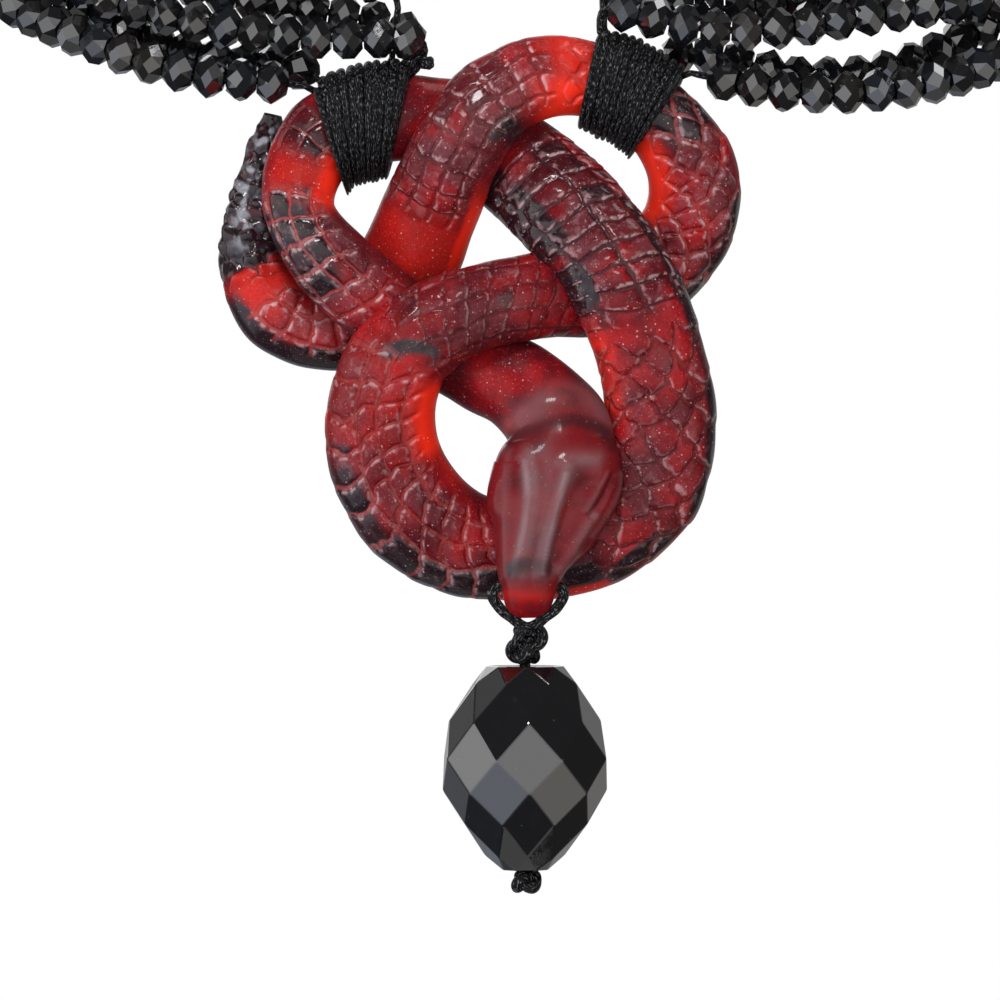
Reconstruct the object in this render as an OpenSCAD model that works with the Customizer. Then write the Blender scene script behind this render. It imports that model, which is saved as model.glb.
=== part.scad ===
// Snake necklace, hung as it is worn. Millimetres, +Z up, the wearer faces -Y.
// The origin is the point of the clasp that rests on the nape.

/* [Hang] */
// How far the snake hangs in front of the nape
snake_reach = 124; // [122:1:126]
// How far the tip of the snout hangs below the nape
snout_drop = 149; // [147:1:151]

/* [Snake] */
// Length of one scale along the snake
scale_len = 3.0; // [3.0:0.1:3.6]
// Height of a scale over the groove around it
scale_rise = 0.35; // [0.1:0.05:0.45]
// Height of the two ridges on the head
ridge_rise = 0.4; // [0.2:0.05:0.5]
// Depth of the carved eyes
eye_depth = 0.5; // [0.2:0.05:0.6]

/* [Strands] */
// Diameter of a strand bead across its belt
bead_d = 5.1; // [4.6:0.1:5.2]
// Diameter of a strand bead's flat ends
bead_end_d = 2.7; // [2.6:0.1:2.8]
// Height of a strand bead's belt
bead_belt = 0.7; // [0.4:0.1:1.0]
// Distance from bead to bead along a strand
bead_pitch = 3.45; // [3.45:0.05:3.6]
// Gap between two neighbouring beads
bead_gap = 0.32; // [0.3:0.01:0.4]
// Diameter of the hole through a strand bead
bead_hole = 1.3; // [1.2:0.1:1.5]
// Diameter of the strands' thread
thread_d = 0.8; // [0.6:0.1:0.8]
// Distance between neighbouring strands round the neck
strand_gap = 5.7; // [5.6:0.1:6.0]
// Bare thread between a strand's last bead and the clasp
bare_back = 18; // [18:1:21]

/* [Wound cord] */
// Thickness of one turn of the wound cord
cord_d = 1.1; // [1.0:0.05:1.1]
// Depth of the groove between two turns
cord_groove = 0.25; // [0.1:0.05:0.3]

/* [Clasp] */
// Diameter of the clasp
clasp_d = 7; // [6.5:0.5:8]
// Length of the clasp
clasp_len = 20; // [18:1:21]

/* [Drop] */
// Diameter of the waxed cord that holds the drop
loop_d = 1.3; // [1.2:0.05:1.35]
// Clearance between that cord and the hole through the snout
loop_play = 0.25; // [0.2:0.05:0.35]
// Radius of the drop bead's upper middle corners
drop_r_upper = 9.5; // [9.3:0.1:9.6]
// Radius of the drop bead's lower middle corners
drop_r_lower = 9.1; // [8.9:0.1:9.2]
// Diameter of the hole through the drop bead
drop_hole = 2.0; // [1.9:0.1:2.4]

/* [Hidden] */

resin = [0.45, 0.03, 0.04];
black_glass = [0.06, 0.06, 0.07];
black_cord = [0.09, 0.09, 0.09];
steel = [0.62, 0.62, 0.63];

// The snake's course from the tip of the tail to the snout. Columns: x, height over the snout's
// tip, width, depth behind the snake's middle plane, thickness, height of the scales, of the ridges.
SNAKE = [
    [-25.2, 56.4, 1.8, 3.0, 1.6, 0, 0],
    [-26.1, 52.2, 4.0, 3.0, 3.4, 0.5, 0],
    [-27.3, 46.7, 5.8, 3.1, 4.8, 1, 0],
    [-27.7, 41.1, 7.3, 3.2, 6.0, 1, 0],
    [-25.6, 35.6, 9.1, 3.4, 7.2, 1, 0],
    [-20.9, 32.9, 9.8, 3.8, 7.8, 1, 0],
    [-15.6, 34.0, 10.7, 4.2, 8.2, 0.5, 0],
    [-11.1, 38.7, 11.1, 4.0, 8.4, 0, 0],
    [-8.0, 45.1, 10.9, 1.2, 8.4, 0.3, 0],
    [-5.0, 51.6, 10.0, -3.0, 8.4, 1, 0],
    [-1.0, 57.3, 9.7, -3.4, 8.2, 1, 0],
    [4.9, 60.2, 9.1, -2.2, 8.0, 1, 0],
    [11.6, 59.6, 8.3, -0.9, 7.8, 0, 0],
    [17.3, 56.1, 8.6, 0.2, 7.8, 0, 0],
    [21.2, 50.4, 10.0, 1.3, 8.2, 1, 0],
    [21.1, 44.4, 10.4, 2.8, 8.2, 1, 0],
    [17.3, 39.3, 10.4, 3.4, 8.2, 0.5, 0],
    [11.3, 36.7, 10.0, 2.8, 8.2, 0, 0],
    [5.3, 36.2, 9.6, 0.0, 8.2, 0.3, 0],
    [-0.2, 35.2, 9.3, -2.8, 8.2, 1, 0],
    [-5.8, 33.4, 9.8, -4.2, 8.2, 1, 0],
    [-10.6, 29.9, 11.1, -4.0, 8.4, 1, 0],
    [-13.0, 24.2, 11.8, -2.4, 8.6, 1, 0],
    [-12.8, 18.2, 12.4, -0.8, 8.8, 1, 0],
    [-9.8, 12.4, 12.7, 0.6, 8.8, 1, 0],
    [-4.9, 8.9, 12.0, 2.2, 8.4, 1, 0],
    [1.1, 7.8, 11.1, 2.8, 8.0, 0.3, 0],
    [6.9, 8.2, 11.3, 2.8, 8.2, 0.5, 0],
    [12.4, 10.7, 12.0, 1.8, 8.8, 1, 0],
    [16.7, 15.6, 12.4, 0.6, 8.8, 1, 0],
    [17.9, 21.8, 12.2, -0.8, 8.8, 1, 0],
    [17.0, 28.2, 12.0, -2.2, 8.8, 1, 0],
    [14.7, 34.9, 12.0, -3.3, 8.6, 1, 0],
    [11.3, 41.1, 11.8, -3.0, 8.6, 1, 0],
    [6.6, 46.4, 12.2, -1.0, 8.4, 1, 0],
    [1.6, 50.9, 11.6, 2.0, 8.4, 0.2, 0],
    [-3.3, 54.7, 10.2, 3.4, 8.2, 0, 0],
    [-8.9, 55.9, 9.6, 1.7, 7.8, 0, 0],
    [-14.0, 55.4, 9.2, 0.1, 7.8, 0, 0],
    [-19.0, 53.9, 9.8, -0.8, 7.8, 0.3, 0],
    [-21.7, 49.9, 8.7, -1.6, 7.6, 0.5, 0],
    [-22.0, 44.9, 7.8, -2.6, 7.4, 1, 0],
    [-18.7, 39.8, 8.7, -3.2, 7.8, 1, 0],
    [-13.6, 35.3, 9.1, -1.6, 8.0, 1, 0],
    [-8.2, 31.6, 9.3, 2.2, 8.0, 0.3, 0],
    [-2.9, 28.6, 9.8, 2.2, 8.2, 0, 0],
    [2.4, 25.8, 10.2, 0.0, 8.2, 0, 0],
    [6.1, 21.7, 11.5, -2.4, 8.2, 0, 0],
    [6.4, 16.6, 14.2, -3.6, 8.0, 0, 1],
    [5.3, 13.2, 14.0, -4.0, 7.9, 0, 1],
    [4.6, 10.2, 12.0, -4.2, 7.6, 0, 1],
    [3.5, 6.8, 8.3, -4.2, 6.8, 0, 1],
    [3.2, 3.4, 6.1, -4.2, 5.8, 0, 0.5],
    [3.1, 1.3, 4.6, -4.2, 3.8, 0, 0],
    [3.1, 0.4, 2.0, -4.2, 1.6, 0, 0],
];
// Rows of that table at which the course is cut, so that no stretch crosses itself
SNAKE_CUTS = [0, 27, 37.5, len(SNAKE) - 1];
// Row of the eyes
EYE_ROW = 48.9;
// Steps round the snake's front and round its back
front_steps = 12;
back_steps = 6;
snake_sides = front_steps + back_steps;

// The sleeves of wound cord. Columns: upper edge's x and height, lower edge's x and height, depth
// behind the snake's middle plane.
WRAP_LEFT = [
    [-9.4, 62.6, -12.4, 49.2, 1.0],
    [-13.3, 62.3, -14.1, 48.6, 0.0],
    [-17.2, 61.5, -15.9, 48.2, -0.5],
    [-21.1, 59.8, -17.0, 47.0, -1.1],
];
WRAP_RIGHT = [
    [21.2, 61.3, 14.4, 51.1, 0.4],
    [18.1, 63.3, 13.0, 52.3, -0.1],
    [14.7, 65.0, 10.9, 53.5, -0.6],
    [10.9, 65.8, 8.3, 54.7, -1.3],
];
wrap_turns_left = 11;
wrap_turns_right = 12;
wrap_thick = 11.4;
// The sleeves' wall under their grooves: one turn, a little flattened, less its groove
wrap_wall = cord_d - cord_groove - 0.1;
wrap_sides = 14;

// Visible stretch of each strand, from the wound cord outwards. Columns: x, depth behind the
// snake's middle plane, height over the snout's tip.
FRONT_LEFT = [
    [[-21.7, -1.9, 59.3], [-26.0, -2.8, 59.7], [-31.2, -3.2, 60.1], [-37.2, -2.6, 61.3],
        [-45.4, 0.7, 64.4]],
    [[-9.2, -1.1, 61.2], [-8.3, -2.2, 63.4], [-10.1, -2.7, 64.7], [-17.8, -2.6, 64.4],
        [-27.0, -1.8, 65.2], [-36.7, -0.2, 67.1], [-43.5, 1.8, 69.4]],
    [[-20.1, 0.7, 60.0], [-22.6, 2.7, 62.0], [-28.3, 3.9, 62.2], [-35.0, 4.8, 63.5],
        [-41.7, 6.5, 66.3]],
    [[-9.4, 2.5, 62.15], [-8.9, 3.5, 64.2], [-10.6, 4.0, 65.8], [-14.2, 3.9, 67.0], [-21.6, 3.5, 68.3],
        [-28.3, 3.6, 69.3], [-36.7, 4.4, 71.5], [-43.0, 6.2, 74.0]],
    [[-12.0, 0.7, 62.55], [-11.8, 0.65, 65.4], [-11.4, 0.3, 68.6], [-13.2, -0.8, 70.7], [-20.0, -1.8, 72.0],
        [-28.0, -1.6, 73.2], [-36.7, -0.4, 75.2], [-44.5, 1.6, 77.4]],
];
FRONT_RIGHT = [
    [[21.2, -0.4, 60.8], [25.0, -1.8, 59.9], [28.6, -2.6, 59.1], [35.0, -3.0, 58.4], [43.6, -1.4, 58.9],
        [52.4, 3.3, 61.2]],
    [[11.2, -1.6, 66.0], [11.4, -2.6, 67.4], [13.4, -3.0, 67.8], [19.5, -3.2, 66.0], [25.8, -3.2, 65.3],
        [33.3, -2.7, 65.9], [43.6, -0.7, 67.7], [52.0, 3.2, 69.1]],
    [[17.0, 4.4, 62.4], [19.7, 5.2, 63.4], [23.2, 5.2, 63.7], [28.0, 5.0, 62.2], [33.3, 5.0, 60.8],
        [43.0, 6.4, 61.4], [50.8, 10.0, 64.7]],
    [[11.1, 1.8, 65.6], [11.4, 3.0, 68.0], [13.2, 3.4, 69.2], [19.7, 3.6, 68.6], [24.9, 3.6, 68.3],
        [33.3, 3.8, 69.1], [44.5, 6.4, 71.2]],
    [[11.6, 0.1, 65.8], [11.4, 0.2, 70.0], [12.2, -0.3, 73.4], [15.6, -0.8, 74.4], [22.6, -1.4, 73.4],
        [33.3, -1.6, 73.4], [43.6, 0.6, 74.8]],
];
// Middle of the bundle of strands round the neck, from the front to the nape. Columns: x, y, z.
NECK_LEFT = [
    [-51.5, -115.2, -74.6], [-59.3, -103, -67], [-64, -86, -56.5], [-65, -68, -44], [-61.5, -51, -31.5],
    [-53, -34, -19.5], [-41.5, -18.5, -9.5], [-28, -7, -3],
];
NECK_RIGHT = [
    [58.3, -111.6, -77.7], [63.8, -98, -69.4], [65.5, -80, -55.5], [63.5, -61, -40], [57, -41.5, -25.5],
    [46, -23.5, -12.5], [29, -7.5, -3.2],
];
// Place of each strand in the bundle, in strand gaps. Columns: inwards, up.
PLACES = [[-0.44, -1], [-0.44, 0], [0.44, -0.5], [0.44, 0.5], [-0.44, 1]];
// Bare thread before each strand's first bead
BARE_LEFT = [1.9, 3.3, 1.3, 3.3, 8.6];
BARE_RIGHT = [2.3, 2.6, 1.5, 3.2, 8.6];
// How close the strands lie at the clasp, against their gap round the neck
clasp_spread = 0.46;
// Steps that a smooth curve takes from one row of its table to the next
smooth_steps = 8;

// Height of the hole through the snout over the snout's tip
snout_hole_h = 3.9;
snout_hole = [3.1, -4.2, snout_hole_h];
// The waxed cord's loop, half of it, from the middle of the hole. Columns: x from the hole's
// middle, height over the hole.
LOOP = [
    [0, 0], [2.3, 0], [3.6, -0.1], [4.15, -0.9], [3.9, -2.1], [2.9, -3.3], [1.5, -4.15], [0, -4.5],
];
// Heights of the drop bead's corners over its middle, from its top to its foot
DROP_LEVELS = [11.3, 9.4, 5.3, 1.2, -2.4, -6.0, -9.6, -11.2];
drop_mid = -20.1;
// The drop bead hangs a little left of the hole through the snout
drop_shift = -0.35;
// The knots: two turns over the bead and one under it. Columns: x from the hole's middle, height
// over the hole, radius.
KNOTS = [[-0.1, -5.9, 1.75], [-0.5, -7.6, 1.45], [drop_shift + 0.1, -32.6, 1.55]];
drop_sides = 8;

UP = [0, 0, 1];
BACK = [0, 1, 0];
snake_place = [0, -snake_reach, -snout_drop];
clasp_mid = [0, clasp_d / 2, 0];

// One row of a table, with its ends repeated past them
function row(table, i) = table[max(0, min(len(table) - 1, i))];

// A row of the smooth curve through a table's rows, where t counts rows
function smooth(table, t) = let(
    i = max(0, min(floor(t), len(table) - 2)),
    u = t - i,
    a = row(table, i - 1),
    b = row(table, i),
    c = row(table, i + 1),
    d = row(table, i + 2)
) (2 * b + (c - a) * u + (2 * a - 5 * b + 4 * c - d) * u * u + (3 * b - a - 3 * c + d) * u * u * u) / 2;

// The smooth curve as a fine line of rows, from row "first" to row "last"
function smooth_line(table, first, last) = let(steps = ceil((last - first) * smooth_steps))
    [for (k = [0:steps]) smooth(table, first + (last - first) * k / steps)];

// Length travelled at each point of a line, of which the first three columns are its place
function travelled(line) = [
    for (i = 0, s = 0; i < len(line); s = s + step_len(line, i), i = i + 1) s
];
function step_len(line, i) = norm(place(row(line, i + 1)) - place(row(line, i)));
function place(r) = [r[0], r[1], r[2]];

// Rows at even steps of length along a line
function even_rows(line, steps) = let(
    s = travelled(line),
    total = s[len(s) - 1],
    columns = [for (c = [0:len(line[0]) - 1]) [for (i = [0:len(line) - 1]) [s[i], line[i][c]]]]
) [for (k = [0:steps]) [for (column = columns) lookup(total * k / steps, column)]];

// Rows at stated lengths along a line
function rows_at(line, lengths) = let(
    s = travelled(line),
    columns = [for (c = [0:len(line[0]) - 1]) [for (i = [0:len(line) - 1]) [s[i], line[i][c]]]]
) [for (l = lengths) [for (column = columns) lookup(l, column)]];

function unit(v) = v / norm(v);

// Direction of travel at point i of a line
function heading(line, i) = unit(place(row(line, i + 1)) - place(row(line, i - 1)));

// Faces of a skin over rings of points, all of one size. Diagonals alternate, and end caps close it.
function skin_faces(rings, sides) = concat(
    [for (i = [0:rings - 2], k = [0:sides - 1]) let(
        a = i * sides + k,
        b = i * sides + (k + 1) % sides,
        c = a + sides,
        d = b + sides
    ) each ((i + k) % 2 == 0 ? [[a, c, d], [a, d, b]] : [[a, c, b], [b, c, d]])],
    [[for (k = [0:sides - 1]) k]],
    [[for (k = [0:sides - 1]) rings * sides - 1 - k]]
);

// The same for rings that close on themselves, as a ring of cord does
function ring_faces(rings, sides) = [
    for (i = [0:rings - 1], k = [0:sides - 1]) let(
        a = i * sides + k,
        b = i * sides + (k + 1) % sides,
        c = ((i + 1) % rings) * sides + k,
        d = ((i + 1) % rings) * sides + (k + 1) % sides
    ) each [[a, c, d], [a, d, b]]
];

// The snake

// Snake rows as x, y, z, width, thickness, scales, ridges and row number in the part's frame
function snake_rows() = [
    for (i = [0:len(SNAKE) - 1]) let(r = SNAKE[i])
        [r[0], -snake_reach + r[3], -snout_drop + r[1], r[2], r[4], r[5], r[6], i]
];

// Angle of side k of the snake: 0 and 180 are its edges, 90 the front
function snake_angle(k) = k <= front_steps
    ? 180 * k / front_steps
    : 180 + 180 * (k - front_steps) / back_steps;

// How far side k of ring i stands out: scales where ring and side are odd, ridges, and the eyes
function snake_relief(r, i, k) =
    (i % 2 == 1 && k % 2 == 1 && k < front_steps ? scale_rise * r[5] : 0)
    + (k == 4 || k == front_steps - 4 ? ridge_rise * r[6] : 0)
    - (k == 2 || k == front_steps - 2 ? eye_depth * r[6] * max(0, 1 - 3 * abs(r[7] - EYE_ROW)) : 0);

// One ring of the snake's skin
function snake_ring(line, i) = let(
    r = line[i],
    side = unit(cross(heading(line, i), BACK)),
    front = unit(cross(heading(line, i), side))
) [for (k = [0:snake_sides - 1]) let(a = snake_angle(k), out = snake_relief(r, i, k))
    place(r) + side * (r[3] / 2 + out) * cos(a) + front * (r[4] / 2 + out) * sin(a)];

// One stretch of the snake, with an even number of rings to each scale
module snake_stretch(first, last) {
    line = smooth_line(snake_rows(), first, last);
    s = travelled(line);
    steps = 2 * round(s[len(s) - 1] / scale_len);
    rings = even_rows(line, steps);
    polyhedron(
        [for (i = [0:steps]) each snake_ring(rings, i)],
        skin_faces(steps + 1, snake_sides)
    );
}

module snake() {
    color(resin) difference() {
        union() for (i = [0:len(SNAKE_CUTS) - 2]) snake_stretch(SNAKE_CUTS[i], SNAKE_CUTS[i + 1]);
        translate(snake_place + snout_hole) rotate([0, 90, 0])
            cylinder(h = 16, d = loop_d + 2 * loop_play, center = true, $fn = 24);
    }
}

// The sleeves of wound cord

// Ring of a sleeve at row r of its table, shrunk by "inset"
function wrap_ring(r, inset) = let(
    top = [r[0], -snake_reach + r[4], -snout_drop + r[1]],
    foot = [r[2], -snake_reach + r[4], -snout_drop + r[3]],
    middle = (top + foot) / 2,
    up = unit(top - foot),
    half = norm(top - foot) / 2 - inset
) [for (k = [0:wrap_sides - 1]) let(a = 360 * k / wrap_sides)
    middle + up * half * cos(a) + BACK * (wrap_thick / 2 - inset) * sin(a)];

// A hollow sleeve: its outside is a ridge for each turn, its inside is smooth
module wrap(table, turns) {
    last = len(table) - 1;
    outside = [for (i = [0:2 * turns]) wrap_ring(smooth(table, last * i / (2 * turns)),
        i % 2 == 0 ? cord_groove : 0)];
    inside = [for (i = [turns:-1:0]) wrap_ring(smooth(table, last * i / turns), cord_groove + wrap_wall)];
    rings = concat(outside, inside);
    color(black_cord) polyhedron([for (ring = rings) each ring], ring_faces(len(rings), wrap_sides));
}

// The strands

// Points of a strand round the neck, offset from the bundle's middle by its place in it
function neck_points(neck, spot, hand) = [
    for (i = [0:len(neck) - 1]) let(
        way = heading(neck, i),
        inwards = unit(cross(way, UP)) * hand,
        up = unit(cross(inwards, way)) * hand
    ) neck[i] + (inwards * spot[0] + up * spot[1]) * strand_gap
];

// Whole course of a strand, from the wound cord to the clasp; hand is 1 at the left, -1 at the right
function strand_line(front, neck, spot, hand) = let(
    visible = [for (r = front) [r[0], -snake_reach + r[1], -snout_drop + r[2]]],
    end = clasp_mid + [-hand * (clasp_len / 2 + 0.2), 0, 0]
        + [0, -spot[0], spot[1]] * strand_gap * clasp_spread,
    table = concat(visible, neck_points(neck, spot, hand), [end + [-hand * 3, -0.6, -0.1], end])
) smooth_line(table, 0, len(table) - 1);

function strand_course(side, n) = side == "left"
    ? strand_line(FRONT_LEFT[n - 1], NECK_LEFT, PLACES[n - 1], 1)
    : strand_line(FRONT_RIGHT[n - 1], NECK_RIGHT, PLACES[n - 1], -1);

function bare_front(side, n) = side == "left" ? BARE_LEFT[n - 1] : BARE_RIGHT[n - 1];

// How many beads a strand holds
function bead_count(line, bare) = let(s = travelled(line))
    floor((s[len(s) - 1] - bare - bare_back) / bead_pitch);

// The ends of each bead's place along a strand
function bead_ends(line, bare) = rows_at(line,
    [for (i = [0:bead_count(line, bare)]) bare + i * bead_pitch]);

// A tube along a line, with a radius for each of its points
module tube(line, radii, sides) {
    last = len(line) - 1;
    points = [for (i = [0:last]) let(
        way = heading(line, i),
        side = unit(cross(way, abs(way[2]) > 0.8 ? [1, 0, 0] : UP)),
        down = cross(way, side)
    ) each [for (k = [0:sides - 1]) let(a = 360 * k / sides)
        line[i] + (side * cos(a) + down * sin(a)) * radii[i]]];
    polyhedron(points, skin_faces(last + 1, sides));
}

// One drilled bead, its hole along +Z
module strand_bead() {
    half = (bead_pitch - bead_gap) / 2;
    rotate_extrude($fn = 24) polygon([
        [bead_hole / 2, -half], [bead_end_d / 2, -half], [bead_d / 2, -bead_belt / 2],
        [bead_d / 2, bead_belt / 2], [bead_end_d / 2, half], [bead_hole / 2, half],
    ]);
}

// The loose beads of a strand, each along the thread between its ends
module bead_string(side, n) {
    ends = bead_ends(strand_course(side, n), bare_front(side, n));
    color(black_glass) for (i = [0:len(ends) - 2]) {
        way = unit(ends[i + 1] - ends[i]);
        translate((ends[i] + ends[i + 1]) / 2)
            rotate([0, acos(way[2]), atan2(way[1], way[0])])
                strand_bead();
    }
}

// The thread of a strand whose beads are loose: straight through each bead
module thread(side, n) {
    line = strand_course(side, n);
    s = travelled(line);
    total = s[len(s) - 1];
    bare = bare_front(side, n);
    strung = bare + bead_count(line, bare) * bead_pitch;
    lengths = concat(
        [0, bare * 0.35, bare * 0.7],
        [for (i = [0:bead_count(line, bare)]) bare + i * bead_pitch],
        [for (k = [1:3]) strung + (total - strung) * k / 3]
    );
    route = rows_at(line, lengths);
    color(black_cord) tube(route, [for (p = route) thread_d / 2], 6);
}

// A strand whose beads are drawn as one round body, with the bare thread at both of its ends
module strand_tube(side, n) {
    line = strand_course(side, n);
    s = travelled(line);
    total = s[len(s) - 1];
    bare = bare_front(side, n);
    strung = bare + bead_count(line, bare) * bead_pitch;
    shoulder = 0.8;
    full = bead_d / 2 - 0.05;
    body_steps = round((strung - bare) / (2.2 * bead_d));
    lengths = concat(
        [0, bare * 0.35, bare * 0.7, bare],
        [for (k = [0:body_steps]) bare + shoulder + (strung - bare - 2 * shoulder) * k / body_steps],
        [strung, (strung + total) / 2, total]
    );
    radii = [for (l = lengths) l > bare + shoulder / 2 && l < strung - shoulder / 2 ? full : thread_d / 2];
    color(black_glass) tube(rows_at(line, lengths), radii, 8);
}

// The clasp

module clasp() {
    chamfer = 0.6;
    color(steel) translate(clasp_mid) rotate([0, 90, 0]) rotate_extrude($fn = 48) polygon([
        [0, -clasp_len / 2], [clasp_d / 2 - chamfer, -clasp_len / 2], [clasp_d / 2, -clasp_len / 2 + chamfer],
        [clasp_d / 2, clasp_len / 2 - chamfer], [clasp_d / 2 - chamfer, clasp_len / 2], [0, clasp_len / 2],
    ]);
}

// The drop

// The whole loop of waxed cord, seen from the front, closed on itself
function loop_points() = concat(
    [for (p = LOOP) [p[0], 0, p[1]]],
    [for (i = [len(LOOP) - 2:-1:1]) [-LOOP[i][0], 0, LOOP[i][1]]]
);

// The one waxed cord: its loop through the snout, the knot over the drop bead, the straight part
// through the bead and the knot under it
module drop_cord() {
    corners = loop_points();
    n = len(corners);
    steps = 32;
    sides = 8;
    // The curve starts two corners early, so that it is smooth where it meets itself.
    table = [for (i = [-2:n + 2]) corners[(i + n) % n]];
    line = [for (i = [0:steps - 1]) smooth(table, 2 + n * i / steps)];
    points = [for (i = [0:steps - 1]) let(
        way = unit(line[(i + 1) % steps] - line[(i + steps - 1) % steps]),
        out = cross(way, BACK)
    ) each [for (k = [0:sides - 1]) let(a = 360 * k / sides)
        line[i] + (out * cos(a) - BACK * sin(a)) * loop_d / 2]];
    color(black_cord) translate(snake_place + snout_hole) union() {
        polyhedron(points, ring_faces(steps, sides));
        for (knot = KNOTS) translate([knot[0], 0, knot[1]]) sphere(r = knot[2], $fn = 32);
        translate([drop_shift, 0, KNOTS[2][1]])
            cylinder(h = KNOTS[0][1] - KNOTS[2][1], d = loop_d, $fn = 24);
    }
}

// Radius of the corners at each level: every facet between four corners is flat
function drop_radius(i) =
    i == 3 ? drop_r_upper :
    i == 4 ? drop_r_lower :
    i < 3 ? flat_radius(i, i + 1, i + 2) : flat_radius(i, i - 1, i - 2);
function flat_radius(i, j, k) = let(
    shrink = cos(180 / drop_sides),
    slope = (drop_radius(j) * shrink - drop_radius(k)) / (DROP_LEVELS[j] - DROP_LEVELS[k])
) drop_radius(k) + slope * (DROP_LEVELS[i] - DROP_LEVELS[k]);

module drop_bead() {
    levels = len(DROP_LEVELS);
    turn = 3;
    points = [for (i = [0:levels - 1], k = [0:drop_sides - 1]) let(
        a = turn + 360 * (k + (i % 2) / 2) / drop_sides,
        r = drop_radius(i)
    ) [r * cos(a), r * sin(a), DROP_LEVELS[i]]];
    // Corner k of level i, counted round the bead
    function corner(i, k) = i * drop_sides + (k + drop_sides) % drop_sides;
    // The corner of the next level that stands just left of corner k of level i
    function left_of(i, k) = i % 2 == 0 ? k - 1 : k;
    faces = concat(
        [for (i = [0:levels - 3], k = [0:drop_sides - 1]) let(l = left_of(i, k))
            [corner(i, k), corner(i + 1, l + 1), corner(i + 2, k), corner(i + 1, l)]],
        [for (k = [0:drop_sides - 1]) [corner(0, k), corner(0, k + 1), corner(1, left_of(0, k) + 1)]],
        [for (k = [0:drop_sides - 1]) let(i = levels - 2)
            [corner(i, k), corner(i + 1, left_of(i, k) + 1), corner(i + 1, left_of(i, k))]],
        [[for (k = [drop_sides - 1:-1:0]) corner(0, k)]],
        [[for (k = [0:drop_sides - 1]) corner(levels - 1, k)]]
    );
    color(black_glass) translate(snake_place + snout_hole + [drop_shift, 0, drop_mid]) difference() {
        polyhedron(points, faces);
        cylinder(h = 30, d = drop_hole, center = true, $fn = 24);
    }
}

snake();
wrap(WRAP_LEFT, wrap_turns_left);  // wrap_left
wrap(WRAP_RIGHT, wrap_turns_right);  // wrap_right
bead_string("left", 1);  // strand_left_1
bead_string("left", 2);  // strand_left_2
strand_tube("left", 3);  // strand_left_3
strand_tube("left", 4);  // strand_left_4
strand_tube("left", 5);  // strand_left_5
bead_string("right", 1);  // strand_right_1
bead_string("right", 2);  // strand_right_2
strand_tube("right", 3);  // strand_right_3
strand_tube("right", 4);  // strand_right_4
strand_tube("right", 5);  // strand_right_5
thread("left", 1);  // thread_left_1
thread("left", 2);  // thread_left_2
thread("right", 1);  // thread_right_1
thread("right", 2);  // thread_right_2
clasp();
drop_cord();
drop_bead();
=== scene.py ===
"""Looks of the snake necklace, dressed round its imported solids.

Tables and sizes are millimetres in the solids' own frame: +Z up, the wearer faces -Y, the
origin where the clasp rests on the nape. Meshes are written in metres.
"""

import logging
import math
from dataclasses import dataclass, field
from enum import Enum
from functools import reduce

import bpy
import numpy as np
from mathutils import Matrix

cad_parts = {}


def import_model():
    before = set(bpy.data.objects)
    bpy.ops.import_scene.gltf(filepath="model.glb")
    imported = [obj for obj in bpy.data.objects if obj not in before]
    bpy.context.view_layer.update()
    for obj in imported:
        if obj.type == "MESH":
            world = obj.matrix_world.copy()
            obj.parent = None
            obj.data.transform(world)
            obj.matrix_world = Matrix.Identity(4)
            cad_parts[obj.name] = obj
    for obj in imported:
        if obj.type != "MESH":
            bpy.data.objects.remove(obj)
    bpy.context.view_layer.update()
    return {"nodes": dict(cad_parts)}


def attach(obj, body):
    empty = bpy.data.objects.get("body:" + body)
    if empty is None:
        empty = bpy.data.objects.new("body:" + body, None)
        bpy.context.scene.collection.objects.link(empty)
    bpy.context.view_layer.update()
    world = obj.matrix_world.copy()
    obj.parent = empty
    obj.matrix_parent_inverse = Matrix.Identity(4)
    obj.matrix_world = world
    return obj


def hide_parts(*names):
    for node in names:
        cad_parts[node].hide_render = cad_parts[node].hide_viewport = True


MM = 0.001
TURN = 2 * math.pi
NECKLACE = "necklace"
DROP = "drop"
UP = np.array([0.0, 0.0, 1.0])
BACK = np.array([0.0, 1.0, 0.0])
WHITE = (1.0, 1.0, 1.0, 1.0)
# The snake's middle plane and the tip of its snout, from the nape
SNAKE_PLACE = np.array([0.0, -124.0, -149.0])
# The hole through the snout, from the snake's place, and the drop's x from the hole
SNOUT_HOLE = np.array([3.1, -4.2, 3.9])
DROP_SHIFT = -0.35
# How far a cord's plies stand out, as a share of its radius
PLY_SWELL = 0.07

log = logging.getLogger("snake_necklace")


# Curves

def unit(vectors: np.ndarray) -> np.ndarray:
    """Vectors divided by their own length."""
    return vectors / np.linalg.norm(vectors, axis=-1, keepdims=True)


def smooth(table: np.ndarray, at: np.ndarray) -> np.ndarray:
    """Rows of the smooth curve through a table.

    Between two rows it is the cubic through both whose slope at each is half the step between
    that row's own neighbours.

    Args:
        table: one row per control point.
        at: where to read, counted in rows.

    Returns:
        One row per value of at.
    """
    first = np.clip(np.floor(at).astype(int), 0, len(table) - 2)
    u = (at - first)[:, None]
    a, b, c, d = (table[np.clip(first + step, 0, len(table) - 1)] for step in (-1, 0, 1, 2))
    square = 2 * a - 5 * b + 4 * c - d
    cube = 3 * b - a - 3 * c + d
    return (2 * b + (c - a) * u + square * u**2 + cube * u**3) / 2


def fine_line(table: np.ndarray, steps_per_row: int = 24) -> np.ndarray:
    """The whole smooth curve as a fine line of rows."""
    return smooth(table, np.linspace(0, len(table) - 1, (len(table) - 1) * steps_per_row + 1))


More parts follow.
